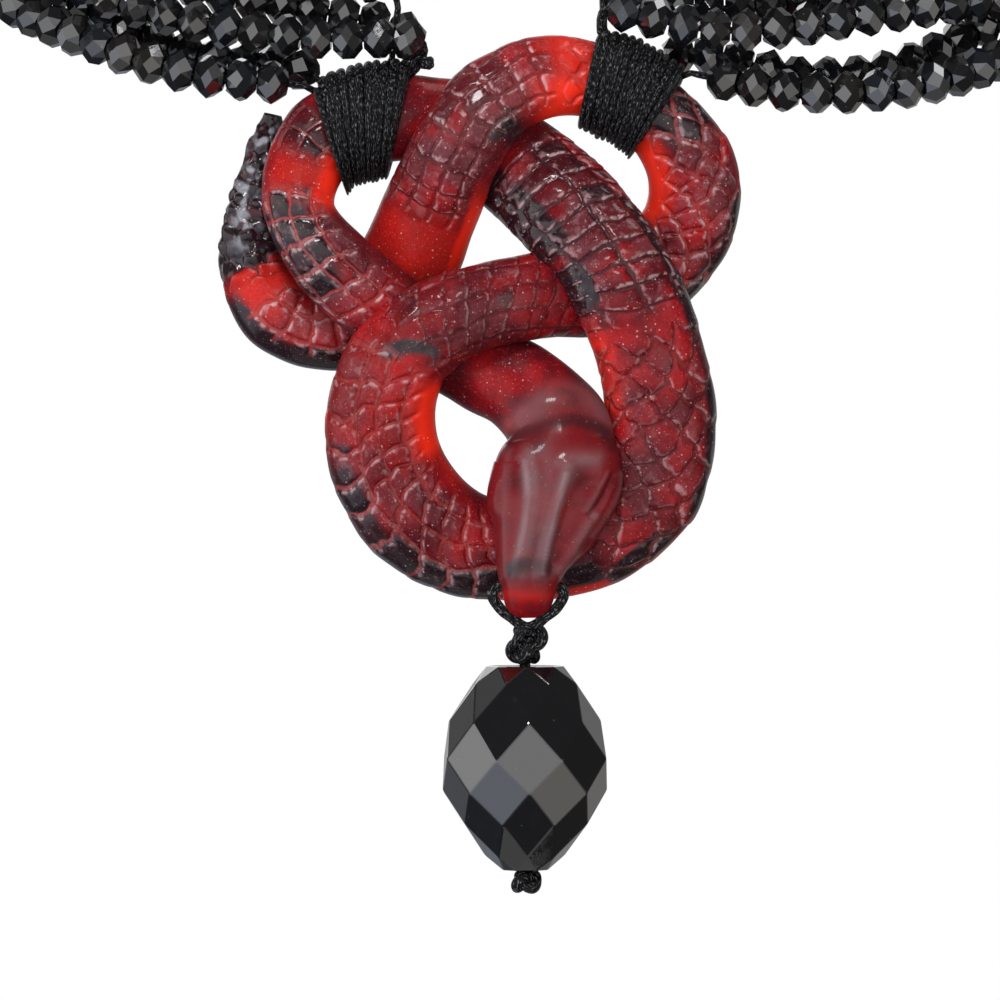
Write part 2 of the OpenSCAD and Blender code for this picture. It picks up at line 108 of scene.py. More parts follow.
def travelled(line: np.ndarray) -> np.ndarray:
    """Length travelled at each row of a line whose first three columns are its place."""
    steps = np.linalg.norm(np.diff(line[:, :3], axis=0), axis=1)
    return np.concatenate([[0.0], np.cumsum(steps)])


def rows_at(line: np.ndarray, lengths: np.ndarray) -> np.ndarray:
    """Rows of a line at stated lengths along it."""
    reached = travelled(line)
    return np.stack([np.interp(lengths, reached, column) for column in line.T], axis=1)


def headings(line: np.ndarray) -> np.ndarray:
    """Direction of travel at each row: from the row before to the row after.

    Args:
        line: rows whose first three columns are their place.

    Returns:
        One direction per row.
    """
    places = line[:, :3]
    before = np.concatenate([places[:1], places[:-1]])
    after = np.concatenate([places[1:], places[-1:]])
    return unit(after - before)


def step(value: np.ndarray, low: float, high: float) -> np.ndarray:
    """0 under low, 1 over high, and a soft slope between them."""
    t = np.clip((value - low) / (high - low), 0, 1)
    return t * t * (3 - 2 * t)


def between(value: np.ndarray, first: float, last: float, fade: float) -> np.ndarray:
    """1 between two bounds, 0 outside, with a soft slope from a fade before each to one after."""
    return step(value, first - fade, first + fade) * (1 - step(value, last - fade, last + fade))


def turned_from(degrees: np.ndarray, middle: float) -> np.ndarray:
    """How far angles lie from a middle one, the short way round."""
    return np.abs((degrees - middle + 180) % 360 - 180)


def bow(value: np.ndarray) -> np.ndarray:
    """A parabola over each unit: 0 at whole numbers and 1 between them."""
    return 1 - (2 * (value - np.floor(value)) - 1) ** 2


def rolling(points: np.ndarray, wavelength: float, seed: int, waves: int = 10) -> np.ndarray:
    """Soft unevenness from about -1 to 1: sine waves that cross the points in all directions.

    Each wave is the sine of the point's way along its own direction plus its own phase, and
    their sum is divided by the root of their number.

    Args:
        points: places, in their last axis.
        wavelength: the waves' middle length.
        seed: which waves are drawn.
        waves: how many there are.

    Returns:
        One value per point.
    """
    draw = np.random.default_rng(seed)
    way = unit(draw.normal(size=(waves, 3))) * TURN / wavelength
    way *= draw.uniform(0.7, 1.4, (waves, 1))
    phase = draw.uniform(0, TURN, waves)
    return np.sin(points @ way.T + phase).sum(-1) / math.sqrt(waves) * 0.8


# Meshes

def placed(name: str, data: bpy.types.ID) -> bpy.types.Object:
    """A new object of the scene.

    Args:
        name: its name.
        data: the mesh, light or camera that it shows.

    Returns:
        The object.
    """
    thing = bpy.data.objects.new(name, data)
    bpy.context.scene.collection.objects.link(thing)
    return thing


@dataclass
class Surface:
    """Points and faces on their way to one mesh. Faces of one size share an array."""

    points: np.ndarray
    faces: list[np.ndarray]
    uvs: list[np.ndarray] | None = None

    def facing_out(self) -> "Surface":
        """The same surface with its faces turned outwards, told by the sign of its volume."""
        volume = 0.0
        for group in self.faces:
            a = self.points[group[:, 0]]
            for corner in range(1, group.shape[1] - 1):
                b, c = self.points[group[:, corner]], self.points[group[:, corner + 1]]
                volume += float(np.einsum("ij,ij->", a, np.cross(b, c)))
        if volume < 0:
            self.faces = [group[:, ::-1] for group in self.faces]
            self.uvs = None if self.uvs is None else [uv[:, ::-1] for uv in self.uvs]
        return self

    def build(
        self,
        name: str,
        material: bpy.types.Material,
        body: str,
        slot: str,
        smooth_faces: bool = True,
        marks: dict[str, np.ndarray] | None = None,
    ) -> bpy.types.Object:
        """Writes the surface into a mesh object that rides on a body.

        Args:
            name: the piece's name.
            material: its finish.
            body: the solid model's body that it rides on.
            slot: the material slot of the record that it belongs to; not used.
            smooth_faces: whether the faces are shaded smooth.
            marks: values for each point, kept as named attributes.

        Returns:
            The new object.
        """
        mesh = bpy.data.meshes.new(name)
        faces = [face for group in self.faces for face in group.tolist()]
        mesh.from_pydata(self.points * MM, [], faces)
        mesh.polygons.foreach_set("use_smooth", np.full(len(mesh.polygons), smooth_faces))
        if self.uvs is not None:
            layer = mesh.uv_layers.new(name="course")
            layer.data.foreach_set("uv", np.concatenate([uv.reshape(-1) for uv in self.uvs]))
        for mark, values in (marks or {}).items():
            attribute = mesh.attributes.new(mark, "FLOAT", "POINT")
            attribute.data.foreach_set("value", values.astype(np.float32).reshape(-1))
        mesh.update()
        piece = placed(name, mesh)
        mesh.materials.append(material)
        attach(piece, body)
        log.info("%s: %d points, %d faces", name, len(mesh.vertices), len(mesh.polygons))
        return piece


def joined(parts: list[Surface]) -> Surface:
    """Several surfaces as one, each part's faces counted on from the parts before it.

    Args:
        parts: surfaces that all have map coordinates, or all have none.

    Returns:
        The one surface.
    """
    starts = np.cumsum([0] + [len(part.points) for part in parts])
    faces = [group + start for part, start in zip(parts, starts) for group in part.faces]
    uvs = None if parts[0].uvs is None else [uv for part in parts for uv in part.uvs]
    return Surface(np.concatenate([part.points for part in parts]), faces, uvs)


def rings_round(
    middle: np.ndarray, side: np.ndarray, front: np.ndarray, across: np.ndarray, deep: np.ndarray
) -> np.ndarray:
    """Rings of points: each ring's middle, plus its two directions times the points' reaches.

    Args:
        middle: one place for each ring.
        side: the first direction of each ring.
        front: its second direction.
        across: how far each point lies along the first, one row for each ring.
        deep: how far it lies along the second, in the same form.

    Returns:
        The points, one ring after another.
    """
    sideways, forwards = side[:, None] * across[..., None], front[:, None] * deep[..., None]
    return middle[:, None] + sideways + forwards


def skin(rings: np.ndarray, u: np.ndarray, v: np.ndarray, closed: bool = False) -> Surface:
    """A skin over rings of points, with a pole at each end or closed on itself.

    Args:
        rings: points, one ring after another.
        u: first map coordinate, with one more column than the rings, because the seam has two.
        v: second map coordinate, in the same form.
        closed: whether the last ring meets the first.

    Returns:
        The skin, its faces outwards.
    """
    count, sides = rings.shape[:2]
    rows = count if closed else count - 1
    i, k = np.arange(rows)[:, None], np.arange(sides)[None, :]
    here, after, around = i * sides, (i + 1) % count * sides, (k + 1) % sides
    quads = np.stack([here + k, here + around, after + around, after + k], -1)
    chart = np.stack([u, v], -1)
    above = np.roll(chart, -1, axis=0)
    if closed:
        above[-1, :, 0] = 2 * u[-1] - u[-2]
    quad_uv = np.stack([chart[:, :-1], chart[:, 1:], above[:, 1:], above[:, :-1]], 2)[:rows]
    points, faces, uvs = [rings.reshape(-1, 3)], [quads.reshape(-1, 4)], [quad_uv.reshape(-1, 4, 2)]
    if not closed:
        for end, (ring, order) in enumerate(((0, [0, 2, 1]), (count - 1, [0, 1, 2]))):
            points.append(rings[ring].mean(0, keepdims=True))
            pole = np.full(sides, count * sides + end)
            fan = np.column_stack([pole, ring * sides + k[0], ring * sides + around[0]])
            left, right = chart[ring, :-1], chart[ring, 1:]
            faces.append(fan[:, order])
            uvs.append(np.stack([(left + right) / 2, left, right], axis=1)[:, order])
    return Surface(np.concatenate(points), faces, uvs).facing_out()


def cord_skin(
    line: np.ndarray,
    radius: float,
    sides: int,
    plies: int = 3,
    lay: float = 2.4,
    closed: bool = False,
) -> Surface:
    """A twisted cord along a line.

    Its radius swells and sinks with the plies: it is the cord's radius, less a swell, plus that
    swell times a cosine of the angle round it, which turns by one ply for each lay length.

    Args:
        line: points of the cord's middle.
        radius: the cord's radius over its plies.
        sides: points round it.
        plies: how many plies are twisted together.
        lay: length over which each ply takes the next one's place.
        closed: whether the cord's end meets its start.

    Returns:
        The cord's skin.
    """
    if closed:
        way = unit(np.roll(line, -1, axis=0) - np.roll(line, 1, axis=0))
    else:
        way = headings(line)
    guide = np.where(np.abs(way[:, 1:2]) > 0.9, UP, BACK)
    side = unit(np.cross(way, guide))
    front = np.cross(way, side)
    angle = np.linspace(0, TURN, sides + 1)
    reached = travelled(line)
    turns = max(1, round(reached[-1] / lay))
    twist = TURN * turns * reached / reached[-1] / plies
    wave = np.cos(plies * (angle[None, :-1] - twist[:, None]))
    r = radius * (1 - PLY_SWELL + PLY_SWELL * wave)
    rings = rings_round(line, side, front, r * np.cos(angle[:-1]), r * np.sin(angle[:-1]))
    return skin(rings, *np.meshgrid(reached, angle / TURN, indexing="ij"), closed)


def cut_gem(
    levels: list[tuple[float, float]], sides: int, turn: float = 0.0
) -> tuple[np.ndarray, np.ndarray, np.ndarray]:
    """A faceted bead along +Z: rings of corners, each turned half a corner from the last.

    A corner lies at its ring's radius times the cosine and the sine of its angle. Facets are
    diamonds over three rings, and triangles at the outer rings.

    Args:
        levels: height and radius of each ring.
        sides: corners in a ring.
        turn: the first corner's angle.

    Returns:
        The corners, the diamonds and the triangles.
    """
    count = len(levels)
    k = np.arange(sides)
    after, before = (k + 1) % sides, (k - 1) % sides
    angle = turn + TURN * (k + np.arange(count)[:, None] % 2 / 2) / sides
    height, radius = np.array(levels).T[..., None]
    corners = np.stack([radius * np.cos(angle), radius * np.sin(angle), height + 0 * angle], -1)
    diamonds = []
    for ring in range(count - 2):
        left, right = (before, k) if ring % 2 == 0 else (k, after)
        low, middle, high = (np.arange(3) + ring) * sides
        diamonds.append(np.column_stack([low + k, middle + right, high + k, middle + left]))
    end, last = (count - 1) * sides, (count - 2) * sides
    nearest = after if count % 2 == 0 else k
    triangles = np.concatenate([
        np.column_stack([k, after, sides + k]),
        np.column_stack([end + after, end + k, last + nearest]),
    ])
    return corners.reshape(-1, 3), np.concatenate(diamonds), triangles


# Shader building

class StainAndLight(Enum):
    """What a patch of the snake's resin shows: its own stains, painted light and painted shade."""

    # Painted light: orange where light would come through thin resin
    GLOW = "glow"
    # Smoky stain, and painted shade at crossings, creases and valleys
    SMOKE = "smoke_and_painted_shade"
    # Milky haze, and a painted sheen on the pads
    HAZE_AND_PAINTED_SHEEN = "haze_and_painted_sheen"
    # Milky frosting, and painted highlights on the head's ridges and hood
    MILK_AND_PAINTED_HIGHLIGHT = "milk_and_painted_highlight"
    # Painted silver highlights on the tail's lumps
    PAINTED_SILVER_HIGHLIGHT = "painted_silver_highlight"
    CLEAN = "clean"


class Nodes:
    """Adds nodes to one tree and joins them, so that a finish reads as a recipe."""

    def __init__(self, tree: bpy.types.NodeTree) -> None:
        """Starts on a tree."""
        self.tree = tree

    def put(self, socket: bpy.types.NodeSocket, value: object) -> None:
        """Joins a socket to another node's output, or sets its own value.

        Args:
            socket: the input.
            value: an output socket, or a plain value.
        """
        if isinstance(value, bpy.types.NodeSocket):
            self.tree.links.new(value, socket)
        else:
            socket.default_value = value

    def fill(self, node: bpy.types.Node, inputs: dict[str | int, object]) -> None:
        """Joins or sets several inputs of a node."""
        for key, value in inputs.items():
            self.put(node.inputs[key], value)

    def add(
        self, kind: str, inputs: dict[str | int, object] | None = None, **settings: object
    ) -> bpy.types.Node:
        """Adds a node.

        Args:
            kind: the node's type name, without its prefix.
            inputs: values or sockets for its inputs.
            settings: the node's own options.

        Returns:
            The node.
        """
        node = self.tree.nodes.new("ShaderNode" + kind)
        for option, value in settings.items():
            setattr(node, option, value)
        self.fill(node, inputs or {})
        return node

    def maths(self, how: str, *values: object) -> bpy.types.NodeSocket:
        """One sum on its values."""
        return self.add("Math", dict(enumerate(values)), operation=how).outputs[0]

    def times(self, *values: object) -> bpy.types.NodeSocket:
        """The product of its values."""
        return reduce(lambda a, b: self.maths("MULTIPLY", a, b), values)

    def plus(self, *values: object) -> bpy.types.NodeSocket:
        """The sum of its values."""
        return reduce(lambda a, b: self.maths("ADD", a, b), values)

    def grown(self, start: object, value: object, share: object) -> bpy.types.NodeSocket:
        """A start plus a share of a value."""
        return self.maths("MULTIPLY_ADD", value, share, start)

    def less(self, value: object, share: float = 1.0) -> bpy.types.NodeSocket:
        """One minus a share of a value."""
        return self.grown(1.0, value, -share)

    def off_half(self, value: object) -> bpy.types.NodeSocket:
        """A value's distance over one half."""
        return self.maths("SUBTRACT", value, 0.5)

    def slope(self, value: object, none: float, full: float) -> bpy.types.NodeSocket:
        """0 at none and past it, 1 at full and past it, and a soft slope between them."""
        inputs = {"Value": value, "From Min": none, "From Max": full}
        return self.add("MapRange", inputs, interpolation_type="SMOOTHSTEP").outputs[0]

    def mix(self, factor: object, a: object, b: object) -> bpy.types.NodeSocket:
        """Colour a, turning to colour b as the factor goes to 1."""
        inputs = {0: factor, 6: a, 7: b}
        return self.add("Mix", inputs, data_type="RGBA", clamp_factor=True).outputs[2]

    def layered(self, colour: object, *layers: tuple[object, object]) -> bpy.types.NodeSocket:
        """A colour under layers.

        Args:
            colour: the lowest colour.
            layers: for each, from below, the factor at which it shows and its own colour.

        Returns:
            The colour on top.
        """
        for factor, layer in layers:
            colour = self.mix(factor, colour, layer)
        return colour

    def noise(self, place: object, size: float, detail: float = 2.0) -> bpy.types.NodeSocket:
        """Cloudy noise from 0 to 1, with clouds of about one size in metres."""
        inputs = {"Vector": place, "Scale": 1 / size, "Detail": detail}
        return self.add("TexNoise", inputs).outputs[0]

    def bump(self, height: object, strength: float, distance: float) -> bpy.types.NodeSocket:
        """The normal of a height, whose full rise is a distance in metres."""
        inputs = {"Height": height, "Strength": strength, "Distance": distance}
        return self.add("Bump", inputs).outputs[0]

    def specks(
        self, dust: bpy.types.NodeTree, place: object, amount: float, scale: float
    ) -> bpy.types.NodeSocket:
        """The dust group's mask, for an amount and the cells in a metre."""
        inputs = {"Place": place, "Amount": amount, "Scale": scale}
        return self.add("Group", inputs, node_tree=dust).outputs["Mask"]

    def mark(self, name: str) -> bpy.types.NodeSocket:
        """A value that the mesh keeps at its points."""
        return self.add("Attribute", attribute_name=name).outputs["Fac"]

    def object_place(self) -> bpy.types.NodeSocket:
        """The point's place on the object."""
        return self.add("TexCoord").outputs["Object"]

    def course(self) -> bpy.types.NodeSocket:
        """The point's place along and round its piece."""
        return self.add("UVMap", uv_map="course").outputs[0]


def group(
    name: str, inputs: dict[str, str], outputs: dict[str, str]
) -> tuple[bpy.types.NodeTree, Nodes, dict, dict]:
    """Starts a node group with named sockets.

    Args:
        name: the group's name.
        inputs: the kind of each input, Float or Vector, by its name.
        outputs: the kind of each output, by its name.

    Returns:
        The tree, its builder, its inputs by name and its output sockets by name.
    """
    tree = bpy.data.node_groups.new(name, "ShaderNodeTree")
    for way, kinds in (("INPUT", inputs), ("OUTPUT", outputs)):
        for key, kind in kinds.items():
            tree.interface.new_socket(key, in_out=way, socket_type="NodeSocket" + kind)
    source, sink = tree.nodes.new("NodeGroupInput"), tree.nodes.new("NodeGroupOutput")
    given = {key: source.outputs[key] for key in inputs}
    return tree, Nodes(tree), given, {key: sink.inputs[key] for key in outputs}


def dust_group() -> bpy.types.NodeTree:
    """Specks of pale dust: the middles of scattered cells, most of them left clean.

    Returns:
        The group, which takes a place, an amount and the cells in a metre, and gives a mask.
    """
    inputs = {"Place": "Vector", "Amount": "Float", "Scale": "Float"}
    tree, n, given, result = group("Dust", inputs, {"Mask": "Float"})
    cells = n.add("TexVoronoi", {"Vector": given["Place"], "Scale": given["Scale"]}).outputs
    speck_edge, speck_core = 0.27, 0.14
    near = n.slope(cells["Distance"], speck_edge, speck_core)
    pick = n.add("SeparateColor", {"Color": cells["Color"]}).outputs[0]
    n.put(result["Mask"], n.times(near, n.maths("LESS_THAN", pick, given["Amount"])))
    return tree


def fibres_group() -> bpy.types.NodeTree:
    """Twisted fibres of a cord: slanted waves over its map, broken up by noise.

    Returns:
        The group, which takes the map and gives a height and a mask of loose fluff.
    """
    outputs = {"Height": "Float", "Fluff": "Float"}
    tree, n, given, result = group("Fibres", {"Course": "Vector"}, outputs)
    along, around = n.add("SeparateXYZ", {"Vector": given["Course"]}).outputs[:2]
    turns_per_mm, plies = 1.1, 3.0
    slant = n.plus(n.times(along, turns_per_mm), n.times(around, plies))
    wave = n.maths("SINE", n.times(slant, TURN))
    stretched = n.add("Mapping", {"Vector": given["Course"], "Scale": (1.5, 14.0, 1.0)}).outputs[0]
    fibre, fuzz = (
        n.add("TexNoise", {"Vector": stretched, "Scale": scale, "Detail": detail}).outputs[0]
        for scale, detail in ((0.8, 4.0), (1.5, 2.0))
    )
    n.put(result["Height"], n.plus(n.times(wave, 0.12), n.plus(fibre, fuzz)))
    n.put(result["Fluff"], n.slope(fuzz, 0.55, 0.68))
    return tree


def scales_group() -> bpy.types.NodeTree:
    """The snake's scales over its map, in which each scale is one unit square.

    A pad is the smaller distance to the square's sides, raised softly from the groove. The painted
    ledge highlight is a band inside the low side of each coordinate, weaker along the second one's.

    Returns:
        The group, which takes the map and gives the pad's height, its groove, its painted ledge
        highlight and one chance value.
    """
    outputs = {"Height": "Float", "Groove": "Float", "PaintedLedgeHighlight": "Float", "Chance": "Float"}
    tree, n, given, result = group("Scales", {"Course": "Vector"}, outputs)
    cell, inside = (
        n.add("VectorMath", {0: given["Course"]}, operation=part).outputs[0]
        for part in ("FLOOR", "FRACTION")
    )
    split = n.add("SeparateXYZ", {"Vector": inside}).outputs
    edges, painted_ledge_highlights = [], []
    for across, share in ((split[0], 1.0), (split[1], 0.55)):
        centred = n.maths("ABSOLUTE", n.off_half(across))
        edges.append(n.maths("SUBTRACT", 0.5, centred))
        # Painted highlight: a band inside the low side, along the free edge
        painted_ledge_highlights.append(n.times(n.slope(across, 0.05, 0.1), n.slope(across, 0.23, 0.12), share))
    soft_corner = 0.06
    near = n.maths("SMOOTH_MIN", *edges, soft_corner)
    n.put(result["Height"], n.slope(near, 0.03, 0.15))
    n.put(result["Groove"], n.slope(near, 0.09, 0.03))
    n.put(result["PaintedLedgeHighlight"], n.times(n.maths("MAXIMUM", *painted_ledge_highlights), n.slope(near, 0.04, 0.08)))
    chance = n.add("TexWhiteNoise", {"Vector": cell}, noise_dimensions="3D")
    n.put(result["Chance"], chance.outputs[0])
    return tree


@dataclass(frozen=True)
class Finish:
    """Base of the finishes: each makes one material round one Principled shader."""

    name: str

    def start(self) -> tuple[bpy.types.Material, Nodes, bpy.types.Node]:
        """A new material, its builder and its shader."""
        material = bpy.data.materials.new(self.name)
        material.use_nodes = True
        shader = material.node_tree.nodes["Principled BSDF"]
        return material, Nodes(material.node_tree), shader


@dataclass(frozen=True)
class RubyResin(Finish):
    """Cast ruby resin: deep red, painted orange light where light comes through, smoky stains with
    painted shade, and painted highlights and sheen.
    """

    name: str = "ruby_resin"
    deep: tuple = (0.095, 0.005, 0.009, 1.0)
    ruby: tuple = (0.35, 0.007, 0.01, 1.0)
    # Painted light: orange where light would come through thin resin
    glow: tuple = (0.95, 0.03, 0.01, 1.0)
    # Smoky stain, and painted shade at crossings, creases and valleys
    smoke_and_painted_shade: tuple = (0.012, 0.007, 0.01, 1.0)
    # Milky haze, and a painted sheen on the pads
    haze_and_painted_sheen: tuple = (0.215, 0.075, 0.09, 1.0)
    # Milky frosting, and painted highlights on the head's ridges and hood
    milk_and_painted_highlight: tuple = (0.36, 0.25, 0.265, 1.0)
    line: tuple = (0.4, 0.06, 0.055, 1.0)
    pale_line: tuple = (0.45, 0.17, 0.165, 1.0)
    # Painted highlight on the scales' free edges and on the pads' tops
    painted_ledge_highlight: tuple = (0.62, 0.38, 0.39, 1.0)
    # Painted silver highlights on the tail's lumps
    painted_silver_highlight: tuple = (0.31, 0.31, 0.345, 1.0)
    dust: tuple = (0.8, 0.55, 0.53, 1.0)
    # Sizes in metres of its clouds, haze and painted sheen, painted silver highlight patches, grime
    # and grain
    cloud_size: float = 0.006
    haze_and_painted_sheen_size: float = 0.0035
    painted_silver_highlight_size: float = 0.0014
    grime_size: float = 0.0009
    grain_size: float = 0.0003
    # Share of each layer at its fullest
    milk_and_painted_highlight_share: float = 0.72
    groove_share: float = 0.7
    # Painted highlight on the pads' tops
    painted_top_highlight_share: float = 0.27
    dark_grain: float = 0.42
    pale_grain: float = 0.2
    film_share: float = 0.3
    speck_share: float = 0.5
    # Share of the cells that hold a speck, and the cells in a metre
    specks: tuple = (0.12, 2000.0)
    film: tuple = (0.24, 3600.0)

    def material(self, dust: bpy.types.NodeTree, pads: bpy.types.NodeTree) -> bpy.types.Material:
        """The resin: layers of colour from the deep red up to the dust, among them painted light,
        painted shade and painted highlights.

        Args:
            dust: the group of dust specks.
            pads: the group of the scales.

        Returns:
            The material.
        """
        material, n, shader = self.start()
        place = n.object_place()
        cloud, grime = n.noise(place, self.cloud_size, 3.0), n.noise(place, self.grime_size, 3.0)
        grain, broken = n.noise(place, self.grain_size, 2.0), n.slope(grime, 0.42, 0.6)
        # Marks of the stains and of painted light, painted shade and painted highlights
        glow, smoke_and_painted_shade, haze_and_painted_sheen, milk_and_painted_highlight, painted_silver_highlight, clean = (n.mark(stain_and_light.value) for stain_and_light in StainAndLight)
        scaled, redness = n.mark("scaled"), n.mark("red_groove")
        scales = n.add("Group", {"Course": n.course()}, node_tree=pads).outputs
        groove, pad = n.times(scales["Groove"], scaled), n.times(scales["Height"], scaled)
        red_groove, dark_groove = n.times(groove, redness), n.times(groove, n.less(redness))
        uneven = n.times(n.off_half(scales["Chance"]), pad)
        tone = n.slope(n.grown(cloud, uneven, 0.16), 0.36, 0.68)
        # Milky haze with a painted sheen on the pads
        haze_and_painted_sheen_mix = n.times(haze_and_painted_sheen, n.slope(n.noise(place, self.haze_and_painted_sheen_size, 3.0), 0.32, 0.72))
        # Smoky stain, with painted shade where the marks put it at crossings and creases
        smoke_and_painted_shade_mix = n.grown(n.grown(smoke_and_painted_shade, n.off_half(cloud), 0.9), uneven, 0.7)
        smoke_and_painted_shade_mix = n.times(n.slope(smoke_and_painted_shade_mix, 0.3, 0.85), n.slope(smoke_and_painted_shade, 0.02, 0.25))
        smoke_and_painted_shade_mix = n.times(smoke_and_painted_shade_mix, n.less(red_groove, 0.85))
        # Painted highlight along the scales' free edges
        painted_ledge_highlight = n.times(scales["PaintedLedgeHighlight"], scaled, broken, n.grown(0.22, haze_and_painted_sheen, 0.6))
        # Painted highlight on the tops of the pads
        painted_top_highlight = n.times(haze_and_painted_sheen_mix, pad, n.slope(grime, 0.5, 0.68), self.painted_top_highlight_share)
        # Patches of the painted silver highlight on the tail
        patchy = n.slope(n.noise(place, self.painted_silver_highlight_size, 1.0), 0.47, 0.66)
        dusty = n.less(clean, 0.8)
        rough = n.times(dusty, n.less(glow, 0.85))
        specks, film = (n.specks(dust, place, *kind) for kind in (self.specks, self.film))
        body = n.layered(
            n.mix(tone, self.deep, self.ruby),
            # Painted light coming through thin resin
            (glow, self.glow),
            (n.times(haze_and_painted_sheen_mix, n.grown(0.12, pad, 0.3)), self.haze_and_painted_sheen),
            # Painted highlights on the head's ridges and hood, over milky frosting
            (n.times(milk_and_painted_highlight, self.milk_and_painted_highlight_share), self.milk_and_painted_highlight),
            (smoke_and_painted_shade_mix, self.smoke_and_painted_shade),
            (n.times(dark_groove, self.groove_share), self.smoke_and_painted_shade),
            (n.times(red_groove, n.grown(0.22, broken, 0.4)),
             n.mix(smoke_and_painted_shade, self.line, self.pale_line)),
            (painted_ledge_highlight, self.painted_ledge_highlight),
            (painted_top_highlight, self.painted_ledge_highlight),
            (n.times(painted_silver_highlight, patchy), self.painted_silver_highlight),
            (n.times(n.slope(grain, 0.5, 0.7), rough, self.dark_grain), self.deep),
            (n.times(n.slope(grain, 0.46, 0.3), rough, self.pale_grain), self.haze_and_painted_sheen),
            (n.times(film, rough, self.film_share), self.dust),
            (n.times(specks, dusty, self.speck_share), self.dust),
        )
        height = n.plus(n.times(pad, 0.7), n.times(grime, 0.16), n.times(specks, 0.12))
        n.fill(shader, {
            "Base Color": body,
            "Roughness": n.grown(0.3, grime, 0.25),
            "Normal": n.bump(height, 0.6, 0.00035),
            "Coat Weight": n.grown(0.14, smoke_and_painted_shade_mix, 0.5),
            "Coat Roughness": 0.1,
            "IOR": 1.45,
            "Specular IOR Level": 0.09,
            "Subsurface Weight": 0.2,
            "Subsurface Radius": (1.0, 0.1, 0.05),
            "Subsurface Scale": 0.002,
        })
        return material


@dataclass(frozen=True)
class JetGlass(Finish):
    """Black pressed glass with polished facets, each a little different in tone."""

    name: str = "jet_glass"
    black: tuple = (0.006, 0.006, 0.007, 1.0)
    warm: tuple = (0.012, 0.0095, 0.009, 1.0)
    cool: tuple = (0.008, 0.01, 0.014, 1.0)
    dust: tuple = (0.3, 0.3, 0.3, 1.0)
    specks: tuple = (0.03, 1700.0)
    smear_size: float = 0.0016

    def material(self, dust: bpy.types.NodeTree) -> bpy.types.Material:
        """The glass, in the tone of its piece's tint.

        Args:
            dust: the group of dust specks.

        Returns:
            The material.
        """
        material, n, shader = self.start()
        place, tint = n.object_place(), n.mark("tint")
        smear = n.noise(place, self.smear_size, 3.0)
        body = n.layered(
            self.black,
            (n.slope(tint, 0.35, 0.0), self.cool),
            (n.slope(tint, 0.7, 1.0), self.warm),
            (n.times(n.specks(dust, place, *self.specks), 0.2), self.dust),
        )
        n.fill(shader, {
            "Base Color": body,
            "Roughness": n.grown(0.04, n.slope(smear, 0.4, 0.8), 0.12),
            "Normal": n.bump(smear, 0.05, 0.0002),
            "IOR": 1.92,
        })
        return material


@dataclass(frozen=True)
class WaxedCord(Finish):
    """Black waxed cotton cord: twisted fibres, a dull shine and pale fluff."""

    name: str = "waxed_cord"
    black: tuple = (0.002, 0.002, 0.0024, 1.0)
    worn: tuple = (0.19, 0.19, 0.21, 1.0)
    dust: tuple = (0.25, 0.25, 0.26, 1.0)
    specks: tuple = (0.3, 3000.0)

    def material(self, fibres: bpy.types.NodeTree, dust: bpy.types.NodeTree) -> bpy.types.Material:
        """The cord.

        Args:
            fibres: the group of the twisted fibres.
            dust: the group of dust specks.

        Returns:
            The material.
        """
        material, n, shader = self.start()
        twist = n.add("Group", {"Course": n.course()}, node_tree=fibres).outputs
        specks = n.specks(dust, n.object_place(), *self.specks)
        body = n.layered(
            self.black, (twist["Fluff"], self.worn), (n.times(specks, 0.35), self.dust)
        )
        n.fill(shader, {
            "Base Color": body,
            "Roughness": n.grown(0.42, twist["Fluff"], 0.3),
            "Normal": n.bump(twist["Height"], 1.0, 0.0003),
            "IOR": 1.4,
            "Specular IOR Level": 0.25,
        })
        return material


@dataclass(frozen=True)
class BrushedSteel(Finish):
    """Plain steel, brushed round the barrel of the clasp."""

    name: str = "brushed_steel"
    steel: tuple = (0.52, 0.52, 0.53, 1.0)
    worn: tuple = (0.62, 0.62, 0.63, 1.0)
    # Brush marks in a metre: along the barrel, and the two ways across it
    brushing: tuple = (9000.0, 300.0, 300.0)

    def material(self) -> bpy.types.Material:
        """The steel."""
        material, n, shader = self.start()
        place = n.object_place()
        rings = n.add("Mapping", {"Vector": place, "Scale": self.brushing}).outputs[0]
        brushed = n.noise(rings, 1.0, 3.0)
        worn = n.slope(n.noise(place, 0.003), 0.4, 0.7)
        n.fill(shader, {
            "Base Color": n.mix(worn, self.steel, self.worn),
            "Roughness": n.grown(0.24, brushed, 0.2),
            "Normal": n.bump(brushed, 0.25, 0.00005),
            "Metallic": 1.0,
        })
        return material


# The snake

class Layout(Enum):
    """How a stretch of the snake's scales is laid."""

    SQUARE = "rows along and across the body"
    DIAMOND = "rows that cross the body slantwise"


